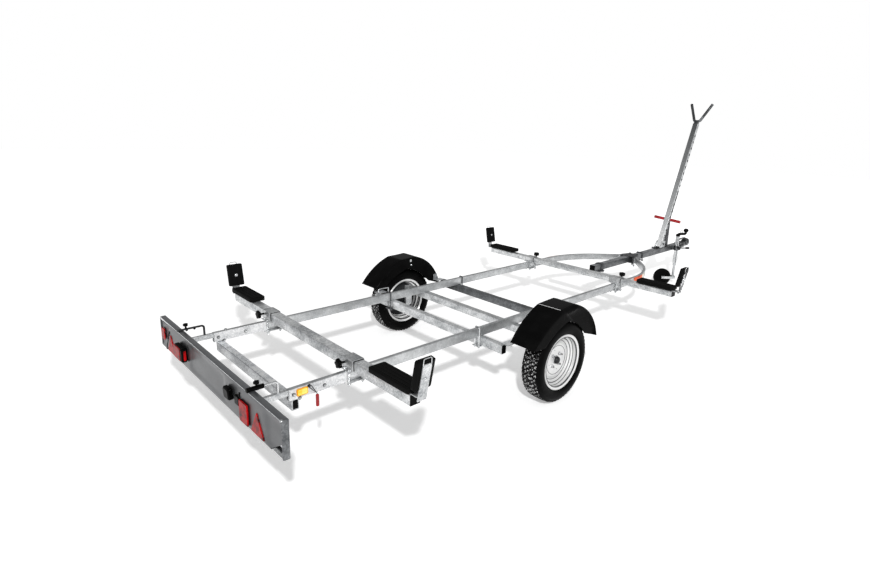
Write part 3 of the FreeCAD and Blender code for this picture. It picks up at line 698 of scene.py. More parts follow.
def treadShell():
    # one bevelled block, stamped round the tyre in rows as whole arrays
    unit = np.array([(x, y, z) for z, s in ((-4.0, 1.0), (0.0, 0.86)) for x, y in
                     ((-s, -s), (s, -s), (s, s), (-s, s))])
    faces = np.array([(4, 5, 6, 7), (0, 1, 5, 4), (1, 2, 6, 5), (2, 3, 7, 6), (3, 0, 4, 7),
                      (3, 2, 1, 0)])
    count = wheel["blocksRound"]
    allPoints = []
    allFaces = []
    for across, width, length, turn, phase in treadRows:
        a = (np.arange(count) + phase) * 2 * math.pi / count
        t = math.radians(turn)
        x = unit[:, 0] * width / 2
        y = unit[:, 1] * length / 2
        xs = x * math.cos(t) - y * math.sin(t) + across
        ys = x * math.sin(t) + y * math.cos(t)
        crown = wheel["radius"] / mm - 1.6 * (across / 52) ** 2 - (1.4 if abs(across) > 40 else 0)
        radius = crown + unit[:, 2]
        angle = a[:, None] + ys[None] / crown
        points = np.stack([radius * np.cos(angle), radius * np.sin(angle),
                           np.broadcast_to(xs, angle.shape)], axis=2) * mm
        start = sum(len(p) for p in allPoints)
        allPoints.append(points.reshape(-1, 3))
        allFaces.append((faces[None] + (np.arange(count) * 8)[:, None, None]).reshape(-1, 4) + start)
    return np.concatenate(allPoints), np.concatenate(allFaces).tolist()


def shoulderShell():
    # short raised bars down each shoulder, between tread and wall
    bars = []
    count = wheel["blocksRound"]
    a = np.arange(count) * 2 * math.pi / count
    for s in (-1, 1):
        for k in a:
            p = [(260 * mm, s * 61.5 * mm), (267 * mm, s * 56 * mm)]
            ends = [np.array([r * math.cos(k), r * math.sin(k), h]) for r, h in p]
            around = np.array([-math.sin(k), math.cos(k), 0])
            outward = np.cross(around, ends[1] - ends[0])
            bars.append(bar(roundedBox(8 * mm, 3 * mm, 1 * mm, 1), ends, up=outward))
    return joinShells(bars)


def rimShell():
    # rolled rim with a drop centre: flange, bead seat, well, bead seat, flange, and back under
    outline = [(184, -62), (185.5, -63.5), (187, -62), (186, -60), (177, -58), (171, -55), (169.2, -50),
               (168.6, -30), (163, -26), (155, -22), (152, -18), (152, 10), (155, 14), (163, 19),
               (168.6, 24), (169.2, 50), (171, 55), (177, 58), (186, 60), (187, 62), (185.5, 63.5),
               (183.4, 61.8), (175, 60.6), (168, 57.5), (166.2, 51), (165.6, 27), (160.5, 21.5),
               (152.5, 16.5), (149.2, 11), (149.2, -19), (152.5, -24.5), (160.5, -28.5), (165.6, -32),
               (166.2, -51), (168, -57.5), (175, -60.6)]
    return spun(outline, 96, closed=True)


def discShell():
    # pressed wheel disc: skirt in the well, a dished ring, one raised swage and the flat bolt face
    front = [(149, 4), (149, 15), (147.5, 16), (145, 14.5), (142, 11), (138, 7.6), (133, 6.1),
             (128, 6.2), (121, 8.4), (114, 11.6), (108, 13), (103, 13), (98, 11.4), (94, 9.4), (89, 9),
             (70, 9), (62, 9.6), (54, 9), (29, 9)]
    back = [(r if r > 30 else 29, z - 3.6) for r, z in front[::-1][:-2]]
    return spun(front + back + [(145.6, 4)], 96, closed=True)


def hubShells():
    # grease cap, bearing hub with flange, and a nut on each stud
    body = [(16, -75), (34, -75), (36, -71), (36, -14), (38, -12), (62, -7), (66, -6), (66, 4),
            (60, 5.2), (24.6, 5.2), (24.6, 20), (23.4, 23), (23.4, 26), (21, 29.4), (17, 31), (0, 31),
            (0, 11.5), (16, 11.5)]
    # painted highlight: a bright ring round the grease cap's lip, made with the nuts in bright zinc
    collar = [(24.9, 9.2), (28.4, 9.4), (28.6, 12), (26.5, 14), (24.9, 14)]
    parts = [spun(body, 40)]
    nuts = [spun(collar, 40, closed=True)]
    circleOfStuds = 50
    for k in range(4):
        a = math.radians(45 + 90 * k)
        at = np.array([circleOfStuds * math.cos(a), circleOfStuds * math.sin(a), 9.2]) * mm
        parts.append(moved(spun([(0, 0), (11, 0), (11, 1.2), (0, 1.2)], 24), at))
        parts.append(moved(studShell(17 * mm, 4.6 * mm), at))
        nuts.append(moved(boltShell(14 * mm, 11 * mm, 1.5 * mm), at + [0, 0, 1.2 * mm]))
    return joinShells(parts), joinShells(nuts)


def wheelShadeRings():
    # painted shade: dark rings in the steps where shade falls, at the bead edge, step of the well, gap
    # between rim and disc, two swages; and a dark back of the disc and inner barrel, painted shade behind the
    # disc
    bands = [((165.0, 52), (166.9, 57.6), (169.8, 58.7), (169.2, 60.2), (165.6, 59.0), (163.4, 52)),
             ((164.8, 26.0), (165.0, 30.5), (166.2, 30.5), (166.2, 26.0)),
             ((148.4, 15.6), (153.0, 16.2), (153.0, 18.2), (148.4, 17.4)),
             ((130.6, 5.6), (134.2, 5.6), (134.2, 7.2), (130.6, 6.9)),
             ((96.6, 10.2), (99.6, 11.2), (99.6, 13.0), (96.6, 12.0))]
    back = [((163.4, -52), (165.6, -59.0), (169.2, -60.2), (169.8, -58.7), (166.9, -57.6), (165.0, -52)),
            ((164.6, -32), (164.6, -38), (166.2, -38), (166.2, -32)),
            ((147.6, -19), (152.2, -26.8), (153.6, -25.2), (149.2, -18)),
            ((37, 4.0), (37, 2.6), (100, 2.6), (131, -1.4), (147, 5.0), (148.5, 9.0), (147, 9.0),
             (131, 1.6), (100, 4.6))]
    return [joinShells([spun(band, 96, closed=True) for band in rows]) for rows in (bands, back)]


def holeShadeDiscs():
    # painted shade: black dishes where the valve hole and three small round holes show dark
    rings = []
    for degrees, radius, r in ((15, 72, 5.5), (105, 72, 2.6), (195, 72, 2.6), (285, 72, 2.6)):
        a = math.radians(degrees)
        at = np.array([radius * math.cos(a), radius * math.sin(a), 9.1]) * mm
        dish = spun([(0, 0), (r, 0), (r, 0.8), (r * 0.7, 0.4), (0, 0.2)], 16)
        rings.append(moved(dish, at))
    return joinShells(rings)


for side, name in sides:
    body = "wheel_" + name
    centre = middle("tyre_" + name)

    def placed(shell):
        # turned about local z, laid along +X, mirrored on the left, set at the wheel's centre
        shell = standing(shell, (0, 0, 0), (1, 0, 0), side=(0, 1, 0))
        if side < 0:
            shell = mirroredX(shell)
        return moved(shell, centre)

    addPiece("casing_" + name, placed(joinShells([tyreShell(), shoulderShell()])), tyreRubber, body,
             ["tyre_" + name], sharp=38)
    addPiece("tread_" + name, placed(treadShell()), glintTread, body)
    addPiece("wheel_rim_" + name, placed(rimShell()), wheelPaint, body, ["rim_" + name])
    addPiece("wheel_disc_" + name, placed(discShell()), wheelPaint, body)
    # painted shade: the dark rings in dull zinc, the back of the disc in dark steel
    paintedShadeLines, back = wheelShadeRings()
    addPiece("wheel_shade_rings_" + name, placed(paintedShadeLines), dullZinc, body)
    addPiece("wheel_back_shade_" + name, placed(back), darkSteel, body)
    capped, nuts = hubShells()
    addPiece("wheel_hub_" + name, placed(capped), darkSteel, body, ["hub_" + name])
    addPiece("wheel_nuts_" + name, placed(nuts), brightZinc, body)
    addPiece("wheel_hole_shade_" + name, placed(holeShadeDiscs()), blackNylon, body)
print("wheels made")


wheelY = middle("tyre_right")[1]

# mudguards: arcs through three points each, as (along, up) in mm from the axle and the ground
guard = dict(skin=4 * mm, recess=17 * mm, topRear=((-335, 446), (-222, 568), (-80, 648)),
             topFront=((78, 655), (240, 566), (343, 382)), archRear=((-240, 446), (-143, 515), (-15, 567)),
             archFront=((-15, 567), (110, 517), (212, 426)))


def arcThrough(a, b, c):
    # centre, radius and the two end angles of the circle through three points
    ax, ay, bx, by, cx, cy = *a, *b, *c
    d = 2 * (ax * (by - cy) + bx * (cy - ay) + cx * (ay - by))
    aa = ax ** 2 + ay ** 2
    bb = bx ** 2 + by ** 2
    cc = cx ** 2 + cy ** 2
    ux = (aa * (by - cy) + bb * (cy - ay) + cc * (ay - by)) / d
    uy = (aa * (cx - bx) + bb * (ax - cx) + cc * (bx - ax)) / d
    return (ux, uy), math.hypot(ax - ux, ay - uy), math.atan2(ay - uy, ax - ux), math.atan2(cy - uy, cx - ux)


def arcPoints(a, b, c, count):
    # points at equal angles along that circle: x = ux + r cos t, y = uy + r sin t
    (ux, uy), r, t0, t1 = arcThrough(a, b, c)
    t = np.linspace(t0, t1, count)
    return np.stack([ux + r * np.cos(t), uy + r * np.sin(t)], axis=1)


def guardTop():
    # (along, up) of the top's edge from the rear foot to the front foot
    rear = arcPoints(*guard["topRear"], 26)
    front = arcPoints(*guard["topFront"], 30)
    flat = np.linspace(guard["topRear"][-1], guard["topFront"][0], 12)[1:-1]
    return np.concatenate([rear, flat, front]) * mm


def guardArch(top):
    # the skirt's lower edge under each top point: level from the rear foot, over the tyre in two
    # arcs that meet above the axle, then falling to the front foot
    along = top[:, 0] / mm
    rear = arcPoints(*guard["archRear"], 30)
    front = arcPoints(*guard["archFront"], 30)[1:]
    line = np.concatenate([[guard["topRear"][0]], rear, front, [guard["topFront"][-1]]])
    return np.minimum(np.interp(along, line[:, 0], line[:, 1]) * mm, top[:, 1])


def guardShell(node):
    # surface over (along, across): inner skirt up, over the top, and down the outer skirt
    x0 = low(node)[0]
    x1 = high(node)[0]
    top = guardTop()
    arch = guardArch(top)
    along = top[:, 0] / mm
    drop = top[:, 1] - arch
    # the edge between top and skirts is soft over the wheel and sharp at both feet
    soft = np.clip(1 - np.abs(along + 5) / 330, 0, 1)
    turn = np.minimum((5 + 26 * soft) * mm, drop * 0.9)
    inner = np.minimum(9 * mm, drop * 0.9)
    rows = []
    a = np.linspace(0, math.pi / 2, 6)
    for s in np.linspace(0, 1, 8)[:-1]:
        rows.append((x0 + 0 * along, arch + (drop - inner) * s))
    for t in a:
        rows.append((x0 + inner * (1 - math.cos(t)), top[:, 1] - inner + inner * math.sin(t)))
    # the outer skirt stands proud up to a ridge that runs down ahead of the arch's top
    for s in np.linspace(0, 1, 8)[1:-1]:
        rows.append((x0 + inner + (x1 - x0 - inner - turn) * s, top[:, 1]))
    for t in a[::-1]:
        pull = guard["recess"] * 0.10 / (1 + np.exp(-(along - 20) / 16))
        rows.append((x1 - pull - turn * (1 - math.cos(t)), top[:, 1] - turn + turn * math.sin(t)))
    for s in np.linspace(0, 1, 16)[1:]:
        ridge = -38 + 74 * s
        share = 1 / (1 + np.exp(-(along - ridge) / 5))
        pull = guard["recess"] * share * (0.10 + 0.90 * math.sin(min(1.0, s * 1.6) * math.pi / 2))
        rows.append((x1 - pull, top[:, 1] - turn - (drop - turn) * s))
    grid = np.array([np.stack([x, top[:, 0] + wheelY, z], axis=1) for x, z in rows])
    return gridShell(grid)


for side, name in sides:
    node = "mudguard_" + name
    shell = guardShell("mudguard_right")
    if side < 0:
        shell = mirroredX(shell)
    piece = addPiece("guard_" + name, shell, blackGuard, "frame", [node], sharp=24)
    wall = piece.modifiers.new("wall", "SOLIDIFY")
    wall.thickness = guard["skin"]
    wall.offset = -1
    edge = piece.modifiers.new("edge", "BEVEL")
    edge.width = 1.2 * mm
    edge.segments = 2
    edge.limit_method = "ANGLE"
    edge.angle_limit = math.radians(50)
# painted highlight along the right guard's rear top crease
highlightPath = np.array([(0.712, -0.0865, 0.6465), (0.80, -0.083, 0.6475), (0.885, -0.0805, 0.6480)])
creaseHighlight = bar(roundedBox(6 * mm, 2 * mm, 0.9 * mm, 2), highlightPath + [0, wheelY, 0], chamfer=1 * mm)
addPiece("guard_painted_highlight", creaseHighlight, paintedHighlight, "frame")
print("mudguards made")


def spots(rows):
    # millimetres measured from the wheels' axis, as metres in the frame
    return np.atleast_2d(rows) * mm + [0, wheelY, 0]


def blockShell(a, b, across, tall, corner, chamfer=0.0, up=(0, 0, 1)):
    # rounded bar between two places given in millimetres from the wheels' axis
    return bar(roundedBox(across * mm, tall * mm, corner * mm), spots([a, b]), up, chamfer * mm)


def boltAt(place, axis, across=13, height=5, stud=0, reach=4):
    # hexagon head on a washer; a threaded end stands out when stud is given
    parts = [boltShell(across * mm, height * mm, 1.5 * mm)]
    if stud:
        parts.append(studShell((height + 1.5 + reach) * mm, stud * mm))
    return standing(joinShells(parts), spots(place)[0], axis)


def hangingBolt(x, y, top, bottom, radius=5):
    # threaded bolt down from its head, with a nut and washer near the lower end
    stud = moved(studShell((top - bottom) * mm, radius * mm), spots((x, y, bottom))[0])
    head = boltAt((x, y, top), (0, 0, 1), 15, 6)
    nut = boltAt((x, y, bottom + 14), (0, 0, -1), 15, 8)
    return joinShells([stud, head, nut])


def knobShell(radius, height, lobes=5):
    # star knob: radius = R (1 - 0.24 cos^2(lobes a / 2)), skirt rolled over at top and bottom
    a = np.arange(60) * 2 * math.pi / 60
    star = 1 - 0.24 * np.cos(lobes * a / 2) ** 2
    rows = ((0.30, 0.0), (0.52, 0.0), (0.92, 0.14), (1.0, 0.34), (1.0, 0.72), (0.93, 0.92),
            (0.70, 1.0), (0.0, 1.0))
    rings = []
    for share, z in rows:
        r = radius * share * (star if share > 0.6 else 1)
        rings.append(np.stack([r * np.cos(a), r * np.sin(a), 0 * a + z * height], axis=1))
    return gridShell(closedEnds(np.array(rings)), wrapCols=True)


def knobAt(place, axis, radius, height, stem, stemRadius=6):
    # star knob on a round stem that starts at the place and runs along the axis
    post = bar(circle(stemRadius * mm, 16), [(0, 0, 0), (0, 0, (stem + 2) * mm)], up=(0, 1, 0))
    head = moved(knobShell(radius * mm, height * mm), (0, 0, stem * mm))
    return standing(joinShells([post, head]), spots(place)[0], axis)


# folded light board: web at the rear, flanges and lips turned forward, soft pressed panels
board = dict(half=797, rear=-1862, deep=30, low=349, high=532, sheet=3, fold=6,
             notchX=684, notchRise=0.6, panelDepth=5, panelX=(-285, 195), panelZ=(372, 512),
             endX=(655, 900), endZ=(366, 516), shadeLineEnd=240)


def boardShell():
    # section (y, z) from the lower lip round the web to the upper lip, carried along x; the web is
    # pressed by depth * smooth(x) * smooth(z), smooth being a pair of logistic steps
    b = board
    y0, y1, z0, z1, r = b["rear"], b["rear"] + b["deep"], b["low"], b["high"], b["fold"]
    a = np.linspace(0, math.pi / 2, 4)
    webZ = np.linspace(z0 + r, z1 - r, 29)
    section = [(y1, z0 + 14), (y1, z0 + 3)]
    section += [(y1 - 3 + 3 * math.cos(t), z0 + 3 - 3 * math.sin(t)) for t in a[1:]]
    section += [(y0 + r - r * math.sin(t), z0 + r - r * math.cos(t)) for t in a]
    section += [(y0, z) for z in webZ[1:-1]]
    section += [(y0 + r - r * math.cos(t), z1 - r + r * math.sin(t)) for t in a]
    section += [(y1 - 3 + 3 * math.sin(t), z1 - 3 + 3 * math.cos(t)) for t in a]
    section += [(y1, z1 - 14)]
    section = np.array(section)
    xs = np.unique(np.concatenate([np.linspace(-b["half"], b["half"], 150), [b["notchX"]]]))
    x, y = np.meshgrid(xs, section[:, 0], indexing="ij")
    z = np.broadcast_to(section[:, 1], x.shape).copy()

    def smooth(v, start, end, soft):
        return 1 / (1 + np.exp(-(v - start) / soft)) / (1 + np.exp((v - end) / soft))

    web = np.abs(y - y0) < 0.01
    # right of notchX the web's lower edge rises: z' = low edge + share of the height that is left
    raised = (x > b["notchX"]) & web
    lowEdge = z0 + r + b["notchRise"] * (x - b["notchX"])
    z = np.where(raised, lowEdge + (z - z0 - r) / (z1 - z0 - 2 * r) * (z1 - r - lowEdge), z)
    panel = smooth(x, *b["panelX"], 9) * smooth(z, *b["panelZ"], 5)
    ends = smooth(np.abs(x), *b["endX"], 12) * smooth(z, *b["endZ"], 7)
    y = y + web * b["panelDepth"] * (panel + 1.3 * ends)
    points = np.stack([x, y, z], axis=2)
    cols = len(section)
    faces = gridFaces(len(xs), cols)
    corners = points.reshape(-1, 3)[faces]
    centre = corners.mean(axis=1)
    under = corners[..., 2].min(axis=1) < z0 + r - 0.5
    inNotch = (centre[:, 0] > b["notchX"]) & under & (centre[:, 1] < y0 + r - 0.5)
    return spots(points.reshape(-1, 3)), faces[~inNotch].tolist()


piece = addPiece("board_sheet", boardShell(), sheetZinc, "light_bar", ["light_board"], sharp=40)
skin = piece.modifiers.new("skin", "SOLIDIFY")
skin.thickness = board["sheet"] * mm
skin.offset = 0


def boardEnds():
    # rounded end plates, a little proud of the sheet all round
    b = board
    shape = roundedBox((b["deep"] + 4) * mm, (b["high"] - b["low"] + 3) * mm, 9 * mm, 5)
    parts = []
    for side in (-1, 1):
        end = plate(shape, [], 4 * mm, 1.0 * mm)
        end = standing(end, (0, 0, 0), (1, 0, 0), side=(0, 1, 0))
        at = spots((side * (b["half"] - 1) - 2, b["rear"] + b["deep"] / 2, (b["high"] + b["low"]) / 2))
        parts.append(moved(end, at[0]))
    return joinShells(parts)


addPiece("board_ends", boardEnds(), greyZinc, "light_bar", sharp=40)


def boardPaintedEdges():
    # painted highlight: a bright strip along the rear top fold, wider towards the left end: drop = 4.5 + 9 (1
    # - share)^1.4;
    # under it a painted shade line, a dark strip in the crease, thins out to the right
    b = board
    xs = np.linspace(-b["half"] + 4, b["half"] - 6, 90)
    share = ((xs + b["half"]) / (b["half"] - 430)).clip(0, 1)
    drop = 4.5 + 9 * (1 - share) ** 1.4
    gap = 5.5 * (1 - ((xs + 60) / 300).clip(0, 1))

    def strip(start, width, rows):
        # one line of points along x for each (share of the width, lift off the web)
        return [np.stack([xs, np.full(len(xs), b["rear"] - lift), b["high"] - 0.6 - start - width * part],
                         axis=1) for part, lift in rows]

    fold = strip(0, drop, ((0.0, 0.4), (0.5, 1.4), (1.0, 0.3)))
    shadeLine = [row[xs < b["shadeLineEnd"]] for row in strip(drop, gap, ((0.0, 0.25), (1.0, 0.25)))]
    return [(spots(np.array(rows).reshape(-1, 3)), gridFaces(len(rows), len(rows[0])).tolist())
            for rows in (fold, shadeLine)]


# painted highlights in bright zinc: the fold strip, a dot on the right end plate's top corner and a strip on
# the lower lip; the dark strip under the fold is painted shade
fold, shadeLine = boardPaintedEdges()
corner = spun([(0, -6), (4, -5), (6.5, -2), (6.5, 2), (4, 5), (0, 6)], 16)
corner = moved(corner, spots((792, -1861, 531))[0])
lipY, lipZ = -1851, 352.6
lip = blockShell((board["notchX"] + 6, lipY, lipZ), (board["half"] - 6, lipY, lipZ), 16, 2, 0.8)
addPiece("board_fold_highlight", joinShells([fold, lip, corner]), brightZinc, "light_bar", sharp=40)
addPiece("board_shade_line", shadeLine, blackNylon, "light_bar")

# cable that comes out of the board beside the left-hand lamp and drops under its edge
cable = bentRod(spots([(-633, -1856, 478), (-633, -1866, 478), (-655, -1866, 432), (-706, -1866, 352),
                       (-706, -1850, 345)]), 2.6 * mm, 9 * mm, 10)
grommet = boltAt((-633, -1862, 478), (0, -1, 0), 13, 3)
addPiece("board_cable", joinShells([cable, grommet]), blackNylon, "light_bar")

# lamps on the board's rear face
lamps = dict(leftX=-392, leftWide=130, leftLow=396, leftHigh=478, leftDeep=33,
             rightX=433, rightWide=90, rightLow=362, rightHigh=470, rightDeep=12)


def lampShells():
    # dark housings of both lamps with a clip and its spike, and the red lenses in front of them
    p = lamps
    rear = board["rear"]
    x = p["leftX"]
    z = (p["leftLow"] + p["leftHigh"]) / 2
    wide = p["leftWide"]
    tall = p["leftHigh"] - p["leftLow"]
    face = rear - p["leftDeep"]
    side = x + wide / 2
    housing = blockShell((x, rear, z), (x, face, z), wide, tall, 11, 7)
    redLeft = blockShell((x - 12, face + 4, z + 1), (x - 12, face - 3, z + 1), 104, tall - 6, 9, 3)
    strip = blockShell((side - 3, rear - 16, z), (side + 2.5, rear - 16, z), 13, tall - 24, 4, 1.5)
    x = p["rightX"]
    z = (p["rightLow"] + p["rightHigh"]) / 2
    wide = p["rightWide"]
    tall = p["rightHigh"] - p["rightLow"]
    foot = blockShell((x - 6, rear, z), (x - 6, rear - 5, z), wide - 4, tall - 4, 8, 1)
    clip = blockShell((x - 76, rear, 448), (x - 76, rear - 11, 448), 46, 46, 7, 3)
    spike = blockShell((x - 58, rear - 3, 470), (x - 52, rear - 3, 496), 7, 6, 2, 2, up=(0, 1, 0))
    redRight = blockShell((x, rear - 4, z), (x, rear - p["rightDeep"] - 1, z), wide, tall, 8, 3)
    return joinShells([housing, foot, clip, spike]), joinShells([redLeft, strip, redRight])


housing, lenses = lampShells()
addPiece("lamp_lenses", lenses, redLens, "light_bar", ["tail_lamps"])
addPiece("lamp_housings", housing, blackNylon, "light_bar")

triangle = dict(left=(-607, 358), right=(562, 358), side=132, thick=6, corner=4)


def triangleShell(x, z, side, y0, y1, corner):
    # equilateral outline with rounded corners, raised with a chamfered edge
    h = side * math.sqrt(3) / 2
    centres = [(x, z + h - 2 * corner), (x - side / 2 + corner * math.sqrt(3), z + corner),
               (x + side / 2 - corner * math.sqrt(3), z + corner)]
    out = []
    for (cx, cz), start in zip(centres, (30, 150, 270)):
        for a in np.radians(np.linspace(start, start + 120, 6)):
            out.append((cx + corner * math.cos(a), cz + corner * math.sin(a)))
    out = np.array(out)
    mid = out.mean(axis=0)
    rings = []
    for y, share in ((y0, 1.0), (y1 + 1.5, 1.0), (y1, 0.97)):
        flat = mid + (out - mid) * share
        rings.append(np.column_stack([flat[:, 0], np.full(len(flat), y), flat[:, 1]]))
    points, faces = gridShell(closedEnds(np.array(rings)), wrapCols=True)
    return spots(points), faces


# the two triangles, and the oblong reflector at the board's left end
rear = board["rear"]
front = rear - triangle["thick"]
reflectors = [triangleShell(*triangle[key], triangle["side"], rear, front, triangle["corner"])
              for key in ("left", "right")]
reflectors.append(blockShell((-750, rear, 437), (-750, front, 437), 58, 74, 14, 2))
addPiece("triangle_reflectors", joinShells(reflectors), redLens, "light_bar",
         ["warning_triangles"])

plateLight = dict(x=268, wide=64, low=424, high=484, deep=26)


def plateLampShell():
    # hooded lamp: the top slopes down towards the rear
    p = plateLight
    rear = board["rear"]
    x = p["x"]
    z = (p["low"] + p["high"]) / 2
    ridge = p["high"] - 3
    body = blockShell((x, rear, z), (x, rear - p["deep"], z - 2), p["wide"], p["high"] - p["low"], 10, 6)
    hood = blockShell((x - 12, rear - 10, ridge), (x + 12, rear - 10, ridge), 10, 8, 3, 2)
    return joinShells([body, hood])


addPiece("plate_lamp", plateLampShell(), blackNylon, "light_bar", ["number_plate_lamp"])

# rods that hold the board: up out of the rail tube, back over the board's top edge
hold = dict(x=468.5, riseY=-1722, low=478, high=539, radius=6, knobY=-1820)


def holdRod(side):
    # bent rod with the two nuts under its knob
    h = hold
    x = side * h["x"]
    rod = bentRod(spots([(x, h["riseY"], h["low"]), (x, h["riseY"], h["high"]),
                         (x, board["rear"] - 5, h["high"])]), h["radius"] * mm, 14 * mm)
    nuts = [boltAt((x, h["knobY"] + away, h["high"] - 6), (0, 0, -1), 10, 5) for away in (4, 46)]
    return joinShells([rod] + nuts)


addPiece("board_hold_rod_left", holdRod(-1), darkSteel, "light_bar", ["board_rods"])
addPiece("board_hold_rod_right", holdRod(1), brightZinc, "light_bar", ["board_rods"])
knobs = [knobAt((side * hold["x"], hold["knobY"], hold["high"] + 5), (0, 0, 1), 14, 17, 12, 5)
         for side in (-1, 1)]
sleeve = blockShell((hold["x"], board["rear"] - 6, hold["high"]), (hold["x"], -1786, hold["high"]),
                    22, 21, 8, 2)
addPiece("board_hold_knobs", joinShells(knobs + [sleeve]), blackNylon, "light_bar",
         ["board_knobs"])
print("light board made")

# clamps that tie each beam down to the rails
clamp = dict(railX=468.5, rearY=-1308, frontY=1338, half=48, beamHalf=30, top=528, foot=482, under=422,
             sheet=5, boltX=22, boltY=41, shadowEdge=5, plateX=14.9, plateZ=461)
beamPlaces = ((clamp["rearY"], beamRise["rear"]), (clamp["frontY"], beamRise["front"]))


def sheetStrip(corners, side, wide, thick, bend):
    # bent sheet along a run of corners; its width keeps one direction round every bend
    path = bentPath(spots(corners), bend * mm, 4)
    run = np.gradient(path, axis=0)
    run = run / np.linalg.norm(run, axis=1, keepdims=True)
    side = np.broadcast_to(np.asarray(side, float), run.shape)
    out = np.cross(side, run)
    profile = roundedBox(wide * mm, thick * mm, 1.2 * mm, 2)
    rings = path[:, None] + profile[None, :, :1] * side[:, None] + profile[None, :, 1:] * out[:, None]
    return gridShell(closedEnds(rings), wrapCols=True)


def clampStrap(x, y, rise):
    # over the beam, with a foot on the rail at each side
    c = clamp
    away = c["beamHalf"] + 0.8 + c["sheet"] / 2
    level = c["foot"] + c["sheet"] / 2
    over = c["top"] + rise + 0.8 + c["sheet"] / 2
    corners = [(x, y - away - 17, level), (x, y - away, level), (x, y - away, over),
               (x, y + away, over), (x, y + away, level), (x, y + away + 17, level)]
    return sheetStrip(corners, (1, 0, 0), 2 * c["half"], c["sheet"], 5)


def clampShadowStrip(x, y, rise):
    # painted shadow: a thin black strip between beam and strap, showing a little past the strap's edges as
    # the dark line of its shadow
    c = clamp
    away = c["beamHalf"] + 0.9
    over = c["top"] + rise + 0.9
    end = c["foot"] + 7
    corners = [(x, y - away, end), (x, y - away, over), (x, y + away, over), (x, y + away, end)]
    return sheetStrip(corners, (1, 0, 0), 2 * c["half"] + 2 * c["shadowEdge"], 1.4, 4)


def clampShells():
    # at each of four places: strap, painted shadow strip, plate under the rail, four bolts and two side
    # plates
    c = clamp
    sheets = []
    bolts = []
    shadowStrips = []
    for y, rise in beamPlaces:
        for side in (-1, 1):
            x = side * c["railX"]
            sheets.append(clampStrap(x, y, rise))
            shadowStrips.append(clampShadowStrip(x, y, rise))
            under = c["under"] - 3
            sheets.append(blockShell((x, y - 46, under), (x, y + 46, under), 68, 5, 2, 1))
            z = c["plateZ"]
            for sx in (-1, 1):
                beside = x + sx * c["plateX"]
                sheets.append(blockShell((beside, y - 36, z), (beside, y + 36, z), 3.6, 41, 1.5, 1))
                boltX = x + sx * c["boltX"]
                for sy in (-1, 1):
                    bolts.append(hangingBolt(boltX, y + sy * c["boltY"], c["foot"] + 5, c["under"] - 22))
    return joinShells(sheets), joinShells(bolts), joinShells(shadowStrips)


sheets, bolts, shadowStrips = clampShells()
addPiece("clamp_shadow_strips", shadowStrips, blackNylon, "frame")
addPiece("clamp_straps", sheets, galvanised, "frame", ["beam_clamps"], sharp=40)
addPiece("clamp_bolts", bolts, brightZinc, "frame")
# on the rear beam they face backwards, at the front beam they stand upright on long stems
starKnob = dict(rearX=(440, -508), rearY=-1343.8, rearZ=517, frontX=(-455.5, 481.5), frontY=1398, frontZ=482)
k = starKnob
starKnobs = [knobAt((x, k["rearY"], k["rearZ"]), (0, -1, 0), 28, 22, 24) for x in k["rearX"]]
starKnobs += [knobAt((x, k["frontY"], k["frontZ"]), (0, 0, 1), 27, 32, 49) for x in k["frontX"]]
addPiece("star_knobs", joinShells(starKnobs), blackNylon, "frame", ["clamp_knobs"],
         sharp=40)
print("clamps made")

# brackets of the upright pads: flat leg on the beam, leaning leg with its bolt and a wire loop
bracket = dict(wide=52, sheet=6, low=528, reach=182, corner=16, footX=986, footZ=540)


def leanedPart(shell, side, y):
    # made upright at the pad's foot, leaned outwards, mirrored for the left-hand side
    shell = turnedShell(shell, (0, 1, 0), pad["lean"])
    shell = moved(shell, (bracket["footX"] * mm, 0, bracket["footZ"] * mm))
    if side < 0:
        shell = mirroredX(shell)
    return moved(shell, (0, wheelY + y * mm, 0))


def bracketShells():
    # at each pad: leaning leg with rounded upper corners, flat foot, two bolts and a wire loop
    b = bracket
    sheets = []
    mottled = []
    small = []
    w = b["wide"] / 2
    c = b["corner"]
    quarter = np.linspace(0, math.pi / 2, 6)
    outline = [(-w, -12), (w, -12), (w, b["reach"] - c)]
    outline += [(w - c + c * math.cos(t), b["reach"] - c + c * math.sin(t)) for t in quarter]
    outline += [(-w + c - c * math.sin(t), b["reach"] - c + c * math.cos(t)) for t in quarter]
    for y, rise in beamPlaces:
        for side in (-1, 1):
            level = b["low"] + rise + 3
            leg = plate(np.array(outline) * mm, [], b["sheet"] * mm, 0.8 * mm)
            leg = standing(leg, (31 * mm, 0, 0), (1, 0, 0), side=(0, 1, 0))
            # the front right leg is the stained one
            stained = side > 0 and y > 0
            (mottled if stained else sheets).append(leanedPart(leg, side, y))
            sheets.append(blockShell((side * 706, y, level), (side * 1016, y, level),
                                     b["wide"], b["sheet"], 1.5, 1))
            through = standing(boltShell(15 * mm, 6 * mm, 1.5 * mm), (37 * mm, 0, 104 * mm), (1, 0, 0))
            small.append(leanedPart(through, side, y))
            face = standing(boltShell(14 * mm, 3 * mm, 1.2 * mm), (0.0, 0, 118 * mm), (-1, 0, 0))
            small.append(leanedPart(face, side, y))
            loop = np.array([(34, -24, 176), (30, -23, 209), (30, 23, 209), (34, 24, 176)]) * mm
            small.append(leanedPart(bentRod(loop, 2.4 * mm, 9 * mm, 10), side, y))
    return joinShells(sheets), joinShells(small), joinShells(mottled)


sheets, small, mottled = bracketShells()
addPiece("pad_bracket_stained", mottled, mottledZinc, "frame", sharp=40)
addPiece("pad_bracket_sheets", sheets, galvanised, "frame", ["pad_brackets"], sharp=40)
addPiece("pad_bracket_bolts", small, brightZinc, "frame")
print("pad brackets made")

# end caps: plugs whose rims sit just inside the tube's outline
capRim = 1.6


